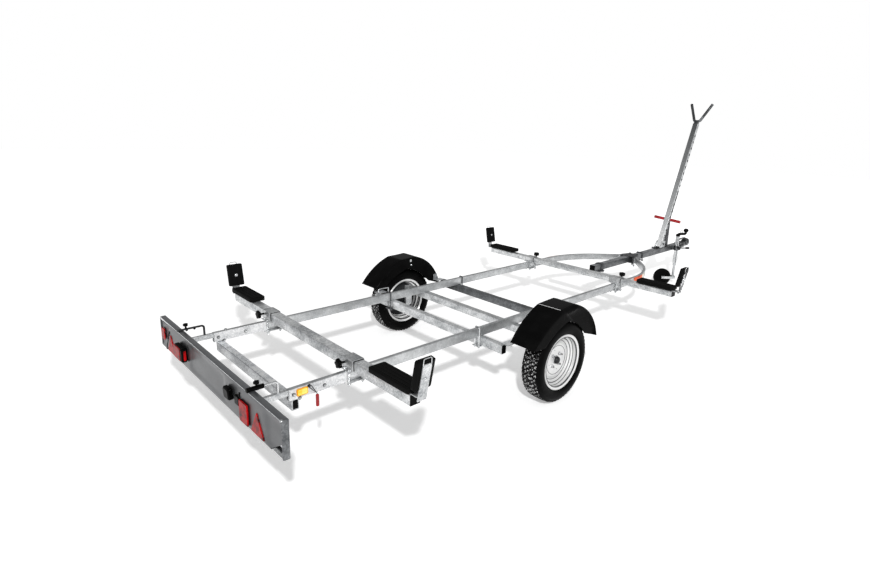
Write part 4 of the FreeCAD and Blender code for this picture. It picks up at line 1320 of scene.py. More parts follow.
def capShells():
    # one plug in each open end: rear member, both members at the axle, both beams, drawbar
    parts = []
    # on the rear member the 6.5 mm rim leaves a small black face in its bright end wall: painted shade where
    # the wall's opening looks dark
    for half, y, rim in ((470, -1638, 6.5), (673, -350, capRim), (673, 350, capRim)):
        for side in (-1, 1):
            parts.append(blockShell((side * (half - 6), y, 392), (side * (half + 3.5), y, 392),
                                    40 - 2 * rim, 60 - 2 * rim, 4, 1.2))
    for y, rise in beamPlaces:
        for side in (-1, 1):
            level = 505 + rise / 2
            tall = 45.4 + rise
            parts.append(blockShell((side * 964, y, level), (side * 975.8, y, level), 59.4, tall, 4, 1.5))
    parts.append(blockShell((0, 1706, 452), (0, 1696.2, 452), 60 - 2 * capRim, 60 - 2 * capRim, 4, 1.2))
    return joinShells(parts)


addPiece("tube_end_plugs", capShells(), blackNylon, "frame", ["end_caps"])
# walls that close the rear member's ends
endWalls = [blockShell((side * 466, -1638, 392), (side * 471.5, -1638, 392), 37.5, 57.5, 3, 1)
            for side in (-1, 1)]
addPiece("rear_tube_end_walls", joinShells(endWalls), galvanised, "frame")


def guardStays():
    # stays of the mudguards: feet on the members' ends, a hoop behind each wheel and a tab over it
    feet = []
    hoops = []
    for side in (-1, 1):
        for y in (-311, 311):
            feet.append(blockShell((side * 648, y, 424.5), (side * 706, y, 424.5), 82, 5, 2, 1))
        feet.append(blockShell((side * 702, 291, 448), (side * 705.6, 291, 448), 40, 48, 3, 1))
        x = side * 700.5
        hoop = spots([(x, -313, 406), (x, -313, 441), (x, -218, 441), (x, -218, 406)])
        hoops.append(bentRod(hoop, 4.6 * mm, 8 * mm, 12))
        hoops.append(blockShell((side * 706, 15, 630), (side * 702.5, 15, 630), 19, 21, 3, 1))
        hoops.append(boltAt((side * 706, 22, 592), (-side, 0, 0), 10, 4))
    return joinShells(feet), joinShells(hoops)


feet, hoops = guardStays()
addPiece("guard_stay_feet", feet, clouded, "frame", ["mudguard_stays"], sharp=40)
addPiece("guard_stay_hoops", hoops, brightZinc, "frame")

# round U-bolts over the rails, each with a clamp plate and two nuts below
uBolt = dict(railX=468.5, half=17.8, top=487, low=346, plateZ=362, plateWide=30)


def uBoltShell(x, y, half, top, low, plateZ, plateWide, radius=5):
    # round bar up, over and down again, a flat plate across both legs and a nut under it on each
    u = bentRod(spots([(x - half, y, low), (x - half, y, top), (x + half, y, top), (x + half, y, low)]),
                radius * mm, 8 * mm, 12)
    flat = blockShell((x - plateWide, y, plateZ - 2.5), (x + plateWide, y, plateZ - 2.5), 30, 5, 2, 1)
    nuts = [boltAt((x + s * half, y, plateZ - 5), (0, 0, -1), 14, 7) for s in (-1, 1)]
    return joinShells([u, flat] + nuts)


def railUBolts(side, radius):
    # the two on one rail, at the members beside the axle
    u = uBolt
    sizes = [u[key] for key in ("half", "top", "low", "plateZ", "plateWide")]
    return joinShells([uBoltShell(side * u["railX"], y, *sizes, radius) for y in (-379, 379)])


addPiece("u_bolts_left", railUBolts(-1, 4), dullZinc, "frame", ["u_bolts"])
addPiece("u_bolts_right", railUBolts(1, 5), brightZinc, "frame", ["u_bolts"])


def saddleShells():
    # strap over the drawbar, the long plate under it, and the bolts at both sides
    strap = sheetStrip([(-32.6, 1828, 404), (-32.6, 1828, 484.6), (32.6, 1828, 484.6), (32.6, 1828, 404)],
                       (0, 1, 0), 48, 4.8, 5)
    under = blockShell((0, 1744, 419), (0, 1852, 419), 96, 6, 2, 1)
    bolts = [boltAt((sx * 41, y, 416), (0, 0, -1), 14, 7, 5, 8)
             for sx in (-1, 1) for y in (1764, 1838)]
    return joinShells([strap, under] + bolts)


drawbarBolt = uBoltShell(0, 2640, 35.3, 487, 400, 410, 48)
addPiece("drawbar_saddle", joinShells([saddleShells(), drawbarBolt]), dullZinc,
         "frame", ["drawbar_u_bolts"], sharp=40)


def gussetShells():
    # plates over and under the joint of the rails with the drawbar, and the bolts through both
    outline = [(-80, 2360), (80, 2360), (80, 2420), (52, 2516), (-52, 2516), (-80, 2420)]
    parts = []
    for z in (482.2, 416.0):
        sheet = plate(np.array(outline) * mm, [], 5.8 * mm, 0.8 * mm)
        parts.append(moved(sheet, (0, wheelY, z * mm)))
    for sx in (-1, 1):
        for x, y in ((62, 2374), (42, 2502)):
            parts.append(hangingBolt(sx * x, y, 488, 396))
    return joinShells(parts)


addPiece("gusset_plates", gussetShells(), dullZinc, "frame", ["apex_plates"], sharp=40)
sideBolts = [hangingBolt(side * 87, 2362, 472, 386) for side in (-1, 1)]
addPiece("gusset_side_bolts", joinShells(sideBolts), brightZinc, "frame")
print("bolts and caps made")

# mast support: pierced post, fork with two arms, cross handle, foot with cheeks and strut
mast = dict(footY=3085, lean=22.3, length=1500, wide=60, deep=40, base=490, wall=3, corner=5,
            firstHole=60, pitch=76, hole=14.5, holes=18)


def mastPart(shell):
    # made upright in metres at the post's foot, leaned forwards about X
    shell = turnedShell(shell, (1, 0, 0), -mast["lean"])
    return moved(shell, spots((0, mast["footY"], mast["base"]))[0])


def postShells():
    # four flat walls joined by quarter-round corners; the left and right walls carry a row of holes
    m = mast
    z0, z1 = 2, m["length"]
    corner = m["corner"]
    walls = []
    rims = []
    for turn, pierced in ((0, False), (180, False), (90, True), (-90, True)):
        wide = m["deep"] if pierced else m["wide"]
        away = (m["wide"] if pierced else m["deep"]) / 2
        half = wide / 2 - corner
        outline = np.array([(-half, z0), (half, z0), (half, z1), (-half, z1)]) * mm
        rows = []
        if pierced:
            for k in range(m["holes"]):
                rows.append(circle(m["hole"] * mm, 12) + [0, (m["firstHole"] + k * m["pitch"]) * mm])
        wall = plate(outline, rows, m["wall"] * mm, 0.2 * mm)
        wall = standing(wall, (0, -away * mm, 0), (0, 1, 0), side=(1, 0, 0))
        # the plate's own y runs along -Z after standing, so it is turned upright about Y
        points = wall[0] * [1, 1, -1]
        wall = (points, [f[::-1] for f in wall[1]])
        walls.append(turnedShell(wall, (0, 0, 1), turn))
    for sx in (-1, 1):
        for sy in (-1, 1):
            a = np.linspace(0, math.pi / 2, 5)
            outer = np.stack([np.cos(a), np.sin(a)], axis=1) * corner
            inner = np.stack([np.cos(a), np.sin(a)], axis=1)[::-1] * (corner - m["wall"])
            away = [m["wide"] / 2 - corner, m["deep"] / 2 - corner]
            ring = (np.concatenate([outer, inner]) + away) * [sx, sy]
            rings = np.array([np.column_stack([ring, np.full(len(ring), z)]) for z in (z0, z1)]) * mm
            (walls if sx < 0 else rims).append(gridShell(closedEnds(rings), wrapCols=True))
    # the left and right walls and the corners on the right stay in bright zinc; the rear and front walls and
    # the corners on the left carry the painted shade up the post
    return mastPart(joinShells(walls[:2] + walls[4:])), mastPart(joinShells(walls[2:4] + rims))


post, postSides = postShells()
addPiece("mast_tube", post, postShadedZinc, "frame", ["mast_post"], sharp=40)
addPiece("mast_tube_sides", postSides, galvanised, "frame", sharp=40)


def holeShadeCaps():
    # painted shade: black caps sunk 0.8 mm below the pierced walls, one in each hole, for the dark inside the
    # holes
    m = mast
    parts = []
    face = m["wide"] / 2 * mm
    r = m["hole"] - 0.2
    cap = spun([(0, -2.4), (r, -2.4), (r, -1.0), (r - 0.6, -0.8), (0, -0.8)], 16)
    for k in range(m["holes"]):
        for side in (-1, 1):
            place = (side * face, 0, (m["firstHole"] + k * m["pitch"]) * mm)
            parts.append(standing(cap, place, (side, 0, 0)))
    return mastPart(joinShells(parts))


addPiece("mast_hole_shade_caps", holeShadeCaps(), blackNylon, "frame")


fork = dict(tipX=121, tipRise=244, seatX=30, seatRise=34, radius=15, bend=30, stemDown=460)


def forkShell():
    # bent round bar with two arms, on a collar and a square stem that slides inside the post
    f = fork
    z = mast["length"]
    tip = z + f["tipRise"]
    seat = z + f["seatRise"]
    half = [(f["seatX"], 0, seat), (f["tipX"], 0, tip)]
    path = np.array([(-x, y, z) for x, y, z in half[::-1]] + half) * mm
    yoke = bentRod(path, f["radius"] * mm, f["bend"] * mm, 20, up=(0, 1, 0.01))
    stem = bar(roundedBox(52.6 * mm, 32.6 * mm, 3 * mm),
               np.array([(0, 0, z - f["stemDown"]), (0, 0, z + 16)]) * mm, up=(0, 1, 0), chamfer=2 * mm)
    collar = bar(roundedBox(46 * mm, 30 * mm, 8 * mm), np.array([(0, 0, z + 4), (0, 0, z + 34)]) * mm,
                 up=(0, 1, 0), chamfer=3 * mm)
    return mastPart(joinShells([yoke, stem, collar]))


addPiece("mast_yoke", forkShell(), yokeZinc, "mast_support", ["mast_fork"])

handle = dict(along=336, half=154, grip=114, radius=16.5, tilt=4.5, rod=5, ridges=9, ridgePitch=10.5)


def handleShells():
    # made level at the origin, then tilted so that its left-hand end is the higher one
    h = handle
    away = math.radians(mast["lean"])
    at = spots((0, mast["footY"] + h["along"] * math.sin(away),
                mast["base"] + h["along"] * math.cos(away)))[0]
    end = h["half"] - 8
    steel = bar(circle(h["rod"] * mm, 16), np.array([(-end, 0, 0), (end, 0, 0)]) * mm)
    grips = []
    for s in (-1, 1):
        r = h["radius"]
        profile = [(0, 0), (r - 2.5, 0), (r - 0.6, 0.8), (r, 2.5)]
        for k in range(h["ridges"]):
            z0 = 12 + k * h["ridgePitch"]
            profile += [(r, z0), (r - 1.1, z0 + 1.5), (r, z0 + 3.0)]
        profile += [(r, h["grip"] - 4), (r - 1, h["grip"] - 1), (r - 3, h["grip"]), (0, h["grip"])]
        grip = spun(profile, 24)
        grips.append(standing(grip, (s * h["half"] * mm, 0, 0), (-s, 0, 0)))
    return [moved(turnedShell(part, (0, 1, 0), h["tilt"]), at) for part in (steel, joinShells(grips))]


steel, grips = handleShells()
addPiece("handle_rod", steel, brightZinc, "frame")
addPiece("handle_grips", grips, redVinyl, "frame", ["mast_handle"])


foot = dict(plateWide=92, plateLong=300, plateY=3140, plateZ=482, plateThick=6, cheekX=32.8, cheekThick=5,
            cheek=((3030, 486), (3150, 486), (3166, 550), (3150, 562), (3086, 562)),
            pin=(3112, 530), strutY=3242, strutLow=487, strutHigh=858, strutWide=40, strutWall=3)


def footShells():
    # base plate with its bolts, and two low cheeks with a pin through them
    f = foot
    base = plate(roundedBox(f["plateWide"] * mm, f["plateLong"] * mm, 10 * mm), [],
                 f["plateThick"] * mm, 0.8 * mm)
    parts = [moved(base, spots((0, f["plateY"], f["plateZ"]))[0])]
    cheeks = []
    outline = (np.array(f["cheek"]) - [mast["footY"], mast["base"]]) * mm
    for side in (-1, 1):
        cheek = plate(outline, [], f["cheekThick"] * mm, 0.8 * mm)
        cheek = standing(cheek, (0, 0, 0), (1, 0, 0), side=(0, 1, 0))
        inner = side * f["cheekX"] - f["cheekThick"] / 2
        cheeks.append(moved(cheek, spots((inner, mast["footY"], mast["base"]))[0]))
        parts.append(boltAt((side * 35.5, *f["pin"]), (side, 0, 0), 17, 9, 5))
        parts.append(boltAt((side * 40, 3015, 488), (0, 0, 1), 13, 5))
        parts.append(boltAt((side * 36, 3272, 488), (0, 0, 1), 13, 5))
    return joinShells(parts), joinShells(cheeks)


def strutShell():
    # square tube whose top is cut along the post's lean: z = base + (y - back) / tan(lean)
    f = foot
    path = spots([(0, f["strutY"], f["strutLow"]), (0, f["strutY"], f["strutHigh"])])
    points, faces = tubeShell(f["strutWide"] * mm, f["strutWide"] * mm, path, wall=f["strutWall"] * mm,
                              corner=4 * mm, up=(0, 1, 0))
    top = points[:, 2] > (f["strutLow"] + f["strutHigh"]) / 2 * mm
    backY = mast["footY"] + 20.6 / math.cos(math.radians(mast["lean"]))
    slope = math.tan(math.radians(mast["lean"]))
    along = (points[:, 1] - wheelY) / mm
    points[top, 2] = (mast["base"] + (along[top] - backY) / slope) * mm
    return points, faces


footBase, footCheeks = footShells()
addPiece("mast_foot_plates", footBase, speckledSteel, "frame", ["mast_foot"], sharp=40)
addPiece("mast_foot_cheeks", footCheeks, galvanised, "frame", sharp=40)
addPiece("mast_strut", strutShell(), dullZinc, "frame", sharp=40)
print("mast made")

# pressed coupling head with its lever; each ring of the head has its place along the trailer, half its
# width, and the heights of its crown and its skirt
coupling = dict(
    sleeveY=(3562, 3698), sleeveZ=452.6, boltY=(3590, 3625), boltX=35,
    rings=((3640, 35, 487, 419), (3662, 35, 487, 419), (3685, 34, 486, 420), (3705, 31, 484, 422),
           (3722, 31, 488, 423), (3740, 34, 497, 424), (3758, 38.5, 507, 424), (3778, 41.5, 514, 424),
           (3800, 42, 516, 424), (3820, 39, 510, 424), (3836, 32, 497, 425), (3846, 23, 484, 427),
           (3852, 13, 472, 430), (3856, 3, 462, 436)))


def couplingShell():
    # rings across Y: the width and the crown's height swell from the neck to the round nose
    rings = []
    a = np.linspace(0, 2 * math.pi, 33)[:-1]
    # superellipse |x/h|^3 + |z/t|^3 = 1 round each ring
    c = np.cos(a)
    s = np.sin(a)
    x = np.sign(c) * np.abs(c) ** (2 / 3)
    z = np.sign(s) * np.abs(s) ** (2 / 3)
    for y, h, top, bottom in coupling["rings"]:
        mid = (top + bottom) / 2
        t = (top - bottom) / 2
        rings.append(np.stack([h * x, np.full(len(a), y), mid + t * z], axis=1))
    points, faces = gridShell(closedEnds(np.array(rings)), wrapCols=True)
    return spots(points), faces


def couplingParts():
    # the head, the square sleeve that takes the drawbar's end, and four bolts through it
    c = coupling
    sleeve = tubeShell(70 * mm, 66 * mm, spots([(0, y, c["sleeveZ"]) for y in c["sleeveY"]]),
                       wall=4.5 * mm, corner=7 * mm)
    parts = [couplingShell(), sleeve]
    for y in c["boltY"]:
        for side in (-1, 1):
            parts.append(boltAt((side * c["boltX"], y, 452), (side, 0, 0), 17, 8, 5))
    return joinShells(parts)


addPiece("coupling_casting", couplingParts(), speckledSteel, "frame",
         ["coupling_head"], sharp=40)


def leverShell():
    # flat arm bent over the head's crown, and the block grip at its rear end
    path = spots([(0, 3778, 512), (0, 3770, 524), (0, 3700, 527), (0, 3640, 522), (0, 3590, 521)])
    arm = bar(roundedBox(18 * mm, 8 * mm, 3 * mm), bentPath(path, 12 * mm, 5))
    grip = blockShell((0, 3636, 522), (0, 3560, 522), 22, 20, 8, 3)
    return joinShells([arm, grip])


addPiece("coupling_handle", leverShell(), dullZinc, "frame", ["coupling_lever"])

# jockey wheel: clamp, outer tube with its crank, inner tube, fork and wheel
jockey = dict(x=76, y=3385, turn=225, trail=128, radius=100, tube=20, bore=14.5, tubeLow=245, tubeHigh=594,
              bands=(262, 566), paintedShadeLines=((-44, 7), (-146, 3), (22, 3)), crank=61, arm=14.5)


def onJockey(shell):
    # a shell made round local z, set on the jockey wheel's axis
    return moved(shell, spots((jockey["x"], jockey["y"], 0))[0])


def clampBody():
    # ring round the outer tube, web to the drawbar, two ears with their bolt; the stem of its grip
    x = jockey["x"]
    y = jockey["y"]
    r = jockey["tube"]
    ring = spun([(r + 0.4, 430), (r + 9, 430), (r + 10, 431), (r + 10, 479), (r + 9, 480), (r + 0.4, 480)],
                40, closed=True)
    ring = onJockey(ring)
    web = blockShell((30.3, y, 455), (54, y, 455), 66, 49, 4, 1)
    ears = [blockShell((x + 25, y + s * 7, 455), (x + 46, y + s * 7, 455), 6, 34, 3, 1) for s in (-1, 1)]
    across = boltAt((x + 36, y - 10, 455), (0, -1, 0), 15, 8)
    stem = spots([(x + 36, y + 8, 455), (x + 36, y + 20, 456), (x + 108, y + 15, 471)])
    stem = bentRod(stem, 6 * mm, 9 * mm, 12)
    return joinShells([ring, web, across] + ears), stem


clampRing, clampStem = clampBody()
addPiece("jockey_clamp_body", clampRing, speckledSteel, "frame", ["jockey_clamp"])
addPiece("jockey_clamp_stem", clampStem, darkSteel, "frame")


def roundGrip(a, b, radius, square=6):
    # radius = R (1 - |2t - 1|^n)^(1/2) from end to end: the larger n, the squarer its ends
    t = np.linspace(0, 1, 22)
    a, b = spots([a, b])
    length = np.linalg.norm(b - a)
    swell = np.sqrt(1 - np.abs(2 * (0.004 + 0.992 * t) - 1) ** square)
    profile = np.stack([radius * mm * swell, t * length], axis=1)
    profile = np.concatenate([[[0, 0]], profile, [[0, length]]])
    return standing(lathe(profile, 20), a, b - a)


addPiece("jockey_clamp_grip", roundGrip((jockey["x"] + 98, 3400, 469), (jockey["x"] + 146, 3398, 479), 12),
         blackNylon, "frame")


def outerTube():
    # wall with a small bead near each end; dark lines run down it, given as (degrees, width): painted shade
    # at its edges and a painted dark reflection down its middle
    j = jockey
    r = j["tube"]
    bore = j["bore"]
    z0 = j["tubeLow"]
    z1 = j["tubeHigh"]
    wall = spun([(bore, z0), (r - 1, z0), (r, z0 + 1), (r, z1 - 3), (r - 0.4, z1), (bore, z1)],
                36, closed=True)
    bands = [spun([(r - 0.1, z), (r + 0.6, z + 1), (r + 0.6, z + 9), (r - 0.1, z + 10)], 36)
             for z in j["bands"]]
    parts = [onJockey(part) for part in [wall] + bands]
    paintedShadeLines = []
    for away, wide in j["paintedShadeLines"]:
        a = math.radians(away)
        x = j["x"] + (r - 0.3) * math.cos(a)
        y = j["y"] + (r - 0.3) * math.sin(a)
        paintedShadeLines.append(bar(circle(wide / 2 * mm, 10), spots([(x, y, 276), (x, y, 564)]), up=(0, 1, 0)))
    return joinShells(parts), joinShells(paintedShadeLines)


def crankShells():
    # cap on the tube, arm bent out to a round knob, and the keeper ring: a torus, a circle of wire
    # carried round a larger circle
    x = jockey["x"]
    y = jockey["y"]
    cap = spun([(0, 595.4), (23, 595.4), (24, 597), (24, 612), (20, 619), (9, 621), (0, 621)])
    cap = onJockey(cap)
    endX = x + jockey["crank"]
    endY = y + jockey["crank"]
    arm = bentRod(spots([(x, y, 606), (x, y, 622), (endX, endY, 626), (endX, endY, 652)]),
                  jockey["arm"] * mm, 18 * mm, 18)
    ball = spun([(0, -21), (15, -20), (23, -13), (28, -2), (27.4, 8), (21, 17.5), (10, 23), (0, 24)], 28)
    ball = moved(ball, spots((endX, endY, 666))[0])
    a = np.linspace(0, 2 * math.pi, 25)[:-1]
    outward = np.stack([np.cos(a), 0 * a, np.sin(a)], axis=1)
    wire = circle(2.6, 8)
    ring = (14 + wire[None, :, :1]) * outward[:, None] + wire[None, :, 1:] * [0, 1, 0]
    ring = spots((ring + [x + 27, y + 27, 650]).reshape(-1, 3)).reshape(ring.shape)
    return joinShells([cap, arm, ball]), gridShell(ring, wrapRows=True, wrapCols=True)


tubeWall, tubeShadeLines = outerTube()
addPiece("jockey_tube_painted_shade", tubeShadeLines, darkSteel, "jockey_leg")
addPiece("jockey_outer", tubeWall, brightZinc, "jockey_leg", ["jockey_outer_tube"])
crank, ring = crankShells()
addPiece("jockey_crank_arm", crank, blackNylon, "jockey_leg", ["jockey_crank"])
addPiece("jockey_keeper_ring", ring, dullZinc, "jockey_leg")
r = jockey["bore"] - 0.3
inner = spun([(0, 120.4), (r, 120.4), (r, 441), (r - 1.2, 442), (0, 442)])
addPiece("jockey_inner", onJockey(inner), brightZinc, "jockey_stem",
         ["jockey_inner_tube"])


def trailing(shell):
    # made with the wheel along +X, then turned about the upright axis to where the wheel trails
    return onJockey(turnedShell(shell, (0, 0, 1), jockey["turn"]))


def forkParts():
    # bearing cup over the fork's crown, two cheeks and the axle with its nuts
    j = jockey
    cup = spun([(0, 82), (23, 82), (24, 84), (24, 112), (22, 118), (19, 120), (0, 120)])
    path = np.array([(j["trail"] + 16, -35.5, 100), (2, -35.5, 100), (-21, -20, 100), (-21, 20, 100),
                     (2, 35.5, 100), (j["trail"] + 16, 35.5, 100)]) * mm
    band = bar(roundedBox(5 * mm, 30 * mm, 1.5 * mm, 2), bentPath(path, 12 * mm, 5))
    axle = spun([(0, -46), (7.9, -46), (7.9, 46), (0, 46)], 20)
    axle = standing(axle, (j["trail"] * mm, 0, j["radius"] * mm), (0, 1, 0))
    nuts = [standing(boltShell(19 * mm, 7 * mm, 2 * mm),
                     (j["trail"] * mm, side * 38.5 * mm, j["radius"] * mm), (0, side, 0)) for side in (-1, 1)]
    return trailing(joinShells([cup, band, axle] + nuts))


addPiece("jockey_fork_band", forkParts(), brightZinc, "jockey_caster", ["jockey_fork"])


def jockeyWheelShell():
    # moulded wheel: crowned tread, rounded shoulders, recessed web and a boss
    j = jockey
    half = [(8.2, 31), (24, 31), (26, 29.5), (26.5, 17), (30, 14), (62, 14), (66, 17), (68, 23), (72, 25),
            (86, 25), (94, 22.5), (98.3, 17), (99.6, 10), (100, 0)]
    section = [(r, -z) for r, z in half] + [(r, z) for r, z in half[::-1][1:]]
    wheelBody = spun(section, 56, closed=True)
    return trailing(standing(wheelBody, (j["trail"] * mm, 0, j["radius"] * mm), (0, 1, 0)))


addPiece("jockey_roller_wheel", jockeyWheelShell(), tyreRubber, "jockey_roller",
         ["jockey_wheel"])
print("coupling and jockey wheel made")

# reflectors, and the lever that locks the board's slide
mark = dict(x=482.4, y0=-1636, y1=-1577, z=455, tall=38, deep=9)


def sideMarks(margin, deep):
    # rounded block on the outside of each rail, smaller all round by the margin
    m = mark
    mid = (m["y0"] + m["y1"]) / 2
    long = m["y1"] - m["y0"] - 2 * margin
    tall = m["tall"] - 2 * margin
    return joinShells([blockShell((side * m["x"], mid, m["z"]), (side * (m["x"] + deep), mid, m["z"]),
                                  long, tall, 8 - margin / 2, 2) for side in (-1, 1)])


addPiece("rear_marks", sideMarks(4.5, mark["deep"]), amberLens, "frame")
addPiece("rear_mark_rims", sideMarks(0, mark["deep"] - 2.5), amberRim, "frame")


# orange at the start of the rail's bend, white after it, given in degrees of the bend
bendMark = dict(startY=1630, z=461, proud=5, thick=8.6, tall=37, orange=(0.1, 10.3), white=(10.4, 15.4))


def frontMark(side, start, end):
    # curved strip on the outside of the bend: the bend's own arc with a larger radius
    m = bendMark
    bend = railPlan["bendRadius"] / mm
    r = bend + railPlan["width"] / mm / 2 + m["proud"]
    a = np.radians(np.linspace(start, end, 12))
    path = np.stack([clamp["railX"] - bend + r * np.cos(a), m["startY"] + r * np.sin(a),
                     np.full(12, m["z"])], axis=1)
    shell = bar(roundedBox(m["thick"] * mm, m["tall"] * mm, 3.4 * mm), spots(path), chamfer=2 * mm)
    return mirroredX(shell) if side < 0 else shell


orangeParts = [frontMark(side, *bendMark["orange"]) for side in (-1, 1)]
whiteParts = [frontMark(side, *bendMark["white"]) for side in (-1, 1)]
addPiece("front_marks", joinShells(orangeParts), orangeLens, "frame", ["side_reflectors"])
addPiece("front_mark_whites", joinShells(whiteParts), whiteLens, "frame")


def slideLock():
    # pivot bolt on the rail's outer face, and two wires from it down to the red grip
    x = mark["x"]
    boss = boltAt((x, -1570, 472), (1, 0, 0), 12, 5)
    wires = [bentRod(spots([(x + 5, y, z), (x + 13, -1536, 428), (x + 15, -1534, 416)]), 1.8 * mm, 8 * mm, 8)
             for y, z in ((-1577, 473), (-1563, 477))]
    return joinShells([boss] + wires)


addPiece("slide_lock_wires", slideLock(), darkSteel, "frame")
addPiece("slide_lock_grip", roundGrip((496, -1534, 422), (496, -1534, 355), 8.5, 14), redVinyl, "frame",
         ["slide_lever"])

# plates on both sides of the rails' rear ends, where the board's slide is bolted
railPlates = [blockShell((side * clamp["railX"] + face * 12.2, -1508, 452),
                         (side * clamp["railX"] + face * 14.2, -1508, 452), 328, 56, 2, 0.6)
              for side in (-1, 1) for face in (-1, 1)]
addPiece("rail_rear_plates", joinShells(railPlates), newGalvanised, "frame")


def railBolts():
    # bolts through the rails, each on a rubber washer
    parts = [boltAt((-clamp["railX"], -1600, 482), (0, 0, 1), 15, 6)]
    washers = []
    disc = spun([(0, 0), (9, 0), (9.5, 0.6), (9.5, 1.6), (9, 2.2), (0, 2.2)], 20)
    for y, z in ((-1486, 448), (-1650, 451), (-1619, 424)):
        for x in (482.6, -454.4):
            parts.append(boltAt((x + 2, y, z), (1, 0, 0), 10, 5, 4, 3))
            washers.append(standing(disc, spots((x, y, z))[0], (1, 0, 0)))
    return joinShells(parts), joinShells(washers)


bolts, washers = railBolts()
addPiece("rail_bolts", bolts, brightZinc, "frame")
addPiece("rail_washers", washers, blackNylon, "frame")
print("small fittings made")

# each solid's own finish, for the ones that no piece of the scene stands in for
finishOf = dict(galvanised_steel=galvanised, zinc_plated_steel=dullZinc, board_grey=sheetZinc,
                wheel_paint=wheelPaint, tyre_rubber=tyreRubber, wheel_rubber=tyreRubber,
                pad_rubber=padRubber, black_plastic=blackNylon, red_lens=redLens, amber_lens=amberLens,
                red_grip=redVinyl)
slotOf = {part["node"]: part["material_slot"] for part in frame["record"]["subparts"]}
for node, thing in frame["nodes"].items():
    thing.data.materials.clear()
    thing.data.materials.append(finishOf[slotOf[node]])


studio = dict(floorSize=60.0, floorColour="#F4F4F4", lift=0.33, farLift=0.85, nearEdge=4.5, farEdge=13.5,
              sky=0.78, lamp=30.0, lampPlace=(3.6, wheelY - 3.3, 3.5), lampRadius=0.12)


def makeFloor():
    # one pale plane under the wheels; to the eye and in reflections it has a little light of its own
    h = studio["floorSize"] / 2
    rim = [(-h, -h, 0), (h, -h, 0), (h, h, 0), (-h, h, 0)]
    mesh = bpy.data.meshes.new("studioFloor")
    mesh.from_pydata(rim, [], [(0, 1, 2, 3)])
    floor = bpy.data.objects.new("studioFloor", mesh)
    bpy.context.scene.collection.objects.link(floor)
    finish = bpy.data.materials.new("paleFloor")
    finish.use_nodes = True
    tree = finish.node_tree
    tree.nodes.clear()
    matt = addNode(tree, "BsdfDiffuse", values={"Color": linear(studio["floorColour"])})
    rays = addNode(tree, "LightPath")
    eye = rays.outputs["Is Camera Ray"]
    gloss = rays.outputs["Is Glossy Ray"]
    through = rays.outputs["Is Transmission Ray"]
    seen = addNode(tree, "Math", operation="MAXIMUM", sources={0: eye, 1: gloss})
    seenAll = addNode(tree, "Math", operation="MAXIMUM", sources={0: seen.outputs["Value"], 1: through})
    place = addNode(tree, "TexCoord")
    x, y = studio["lampPlace"][:2]
    away = addNode(tree, "VectorMath", operation="DISTANCE", values={1: (x, y, 0)},
                   sources={0: place.outputs["Object"]})
    lift = mappedRange(tree, away.outputs["Value"], studio["nearEdge"], studio["farEdge"], studio["lift"],
                  studio["farLift"])
    strength = addNode(tree, "Math", operation="MULTIPLY", sources={0: seenAll.outputs["Value"], 1: lift})
    glow = addNode(tree, "Emission", sources={"Strength": strength.outputs["Value"]})
    both = addNode(tree, "AddShader", sources={0: matt.outputs["BSDF"], 1: glow.outputs["Emission"]})
    addNode(tree, "OutputMaterial", sources={"Surface": both.outputs["Shader"]})
    mesh.materials.append(finish)


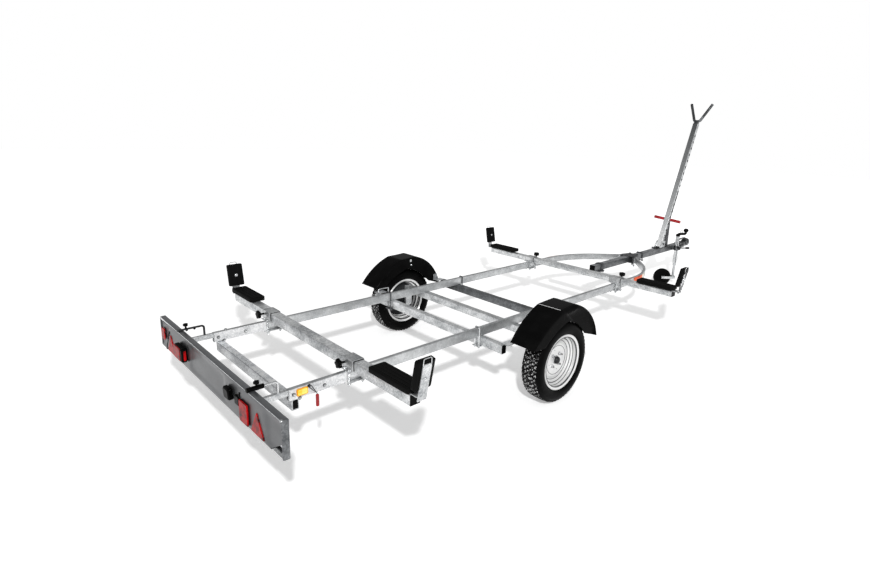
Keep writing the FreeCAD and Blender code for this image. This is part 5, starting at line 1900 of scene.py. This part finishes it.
def makeSky():
    # pale studio: bright low down, greyer overhead, and a little brighter on the right-hand side
    world = bpy.data.worlds.new("studioSky")
    bpy.context.scene.world = world
    world.use_nodes = True
    tree = world.node_tree
    tree.nodes.clear()
    place = addNode(tree, "TexCoord")
    axes = addNode(tree, "SeparateXYZ", sources={"Vector": place.outputs["Generated"]})
    ramp = addNode(tree, "ValToRGB", sources={"Fac": axes.outputs["Z"]})
    stops = ((0.0, 1.0), (0.05, 0.95), (0.16, 0.80), (0.4, 0.72), (0.7, 0.5), (1.0, 0.5))
    elements = ramp.color_ramp.elements
    while len(elements) < len(stops):
        elements.new(0.5)
    for element, (at, value) in zip(elements, stops):
        element.position = at
        element.color = (value, value, value, 1)
    side = mappedRange(tree, axes.outputs["X"], -1.0, 1.0, 0.6 * studio["sky"], 1.1 * studio["sky"])
    light = addNode(tree, "Background", sources={"Color": ramp.outputs["Color"], "Strength": side})
    plain = addNode(tree, "Background", values={"Strength": 1.0, "Color": (1, 1, 1, 1)})
    rays = addNode(tree, "LightPath")
    mix = addNode(tree, "MixShader", sources={0: rays.outputs["Is Camera Ray"],
                  1: light.outputs["Background"], 2: plain.outputs["Background"]})
    addNode(tree, "OutputWorld", sources={"Surface": mix.outputs["Shader"]})


def makeLamp():
    # one lamp above the rear right corner; its strength doesn't fall off, so near and far are lit alike
    lamp = bpy.data.lights.new("studioLamp", "POINT")
    lamp.energy = studio["lamp"]
    lamp.shadow_soft_size = studio["lampRadius"]
    lamp.use_nodes = True
    tree = lamp.node_tree
    tree.nodes.clear()
    even = addNode(tree, "LightFalloff", values={"Strength": 1.0})
    glow = addNode(tree, "Emission", sources={"Strength": even.outputs["Constant"]})
    addNode(tree, "OutputLight", sources={"Surface": glow.outputs["Emission"]})
    holder = bpy.data.objects.new("studioLamp", lamp)
    holder.location = studio["lampPlace"]
    bpy.context.scene.collection.objects.link(holder)


view = dict(place=(2.684, wheelY - 2.7329, 1.7101), yaw=44.871, pitch=-13.4675, roll=2.2666, lens=22.125,
            shiftX=-0.03594, shiftY=-0.03036)


def makeCamera():
    # forward from yaw and pitch; the axes sideways and up are turned by the roll
    yaw, pitch, roll = (math.radians(view[k]) for k in ("yaw", "pitch", "roll"))
    forward = Vector((-math.sin(yaw) * math.cos(pitch), math.cos(yaw) * math.cos(pitch), math.sin(pitch)))
    right = Vector((math.cos(yaw), math.sin(yaw), 0))
    up = right.cross(forward)
    side = right * math.cos(roll) + up * math.sin(roll)
    top = up * math.cos(roll) - right * math.sin(roll)
    lens = bpy.data.cameras.new("view")
    lens.lens = view["lens"]
    lens.sensor_width = 36
    lens.sensor_fit = "HORIZONTAL"
    lens.shift_x = view["shiftX"]
    lens.shift_y = view["shiftY"]
    lens.clip_end = 200
    camera = bpy.data.objects.new("view", lens)
    m = Matrix((side, top, -forward)).transposed().to_4x4()
    m.translation = Vector(view["place"])
    camera.matrix_world = m
    bpy.context.scene.collection.objects.link(camera)
    bpy.context.scene.camera = camera


makeFloor()
makeSky()
makeLamp()
makeCamera()
bpy.context.scene.view_settings.view_transform = "Standard"
print("studio made")
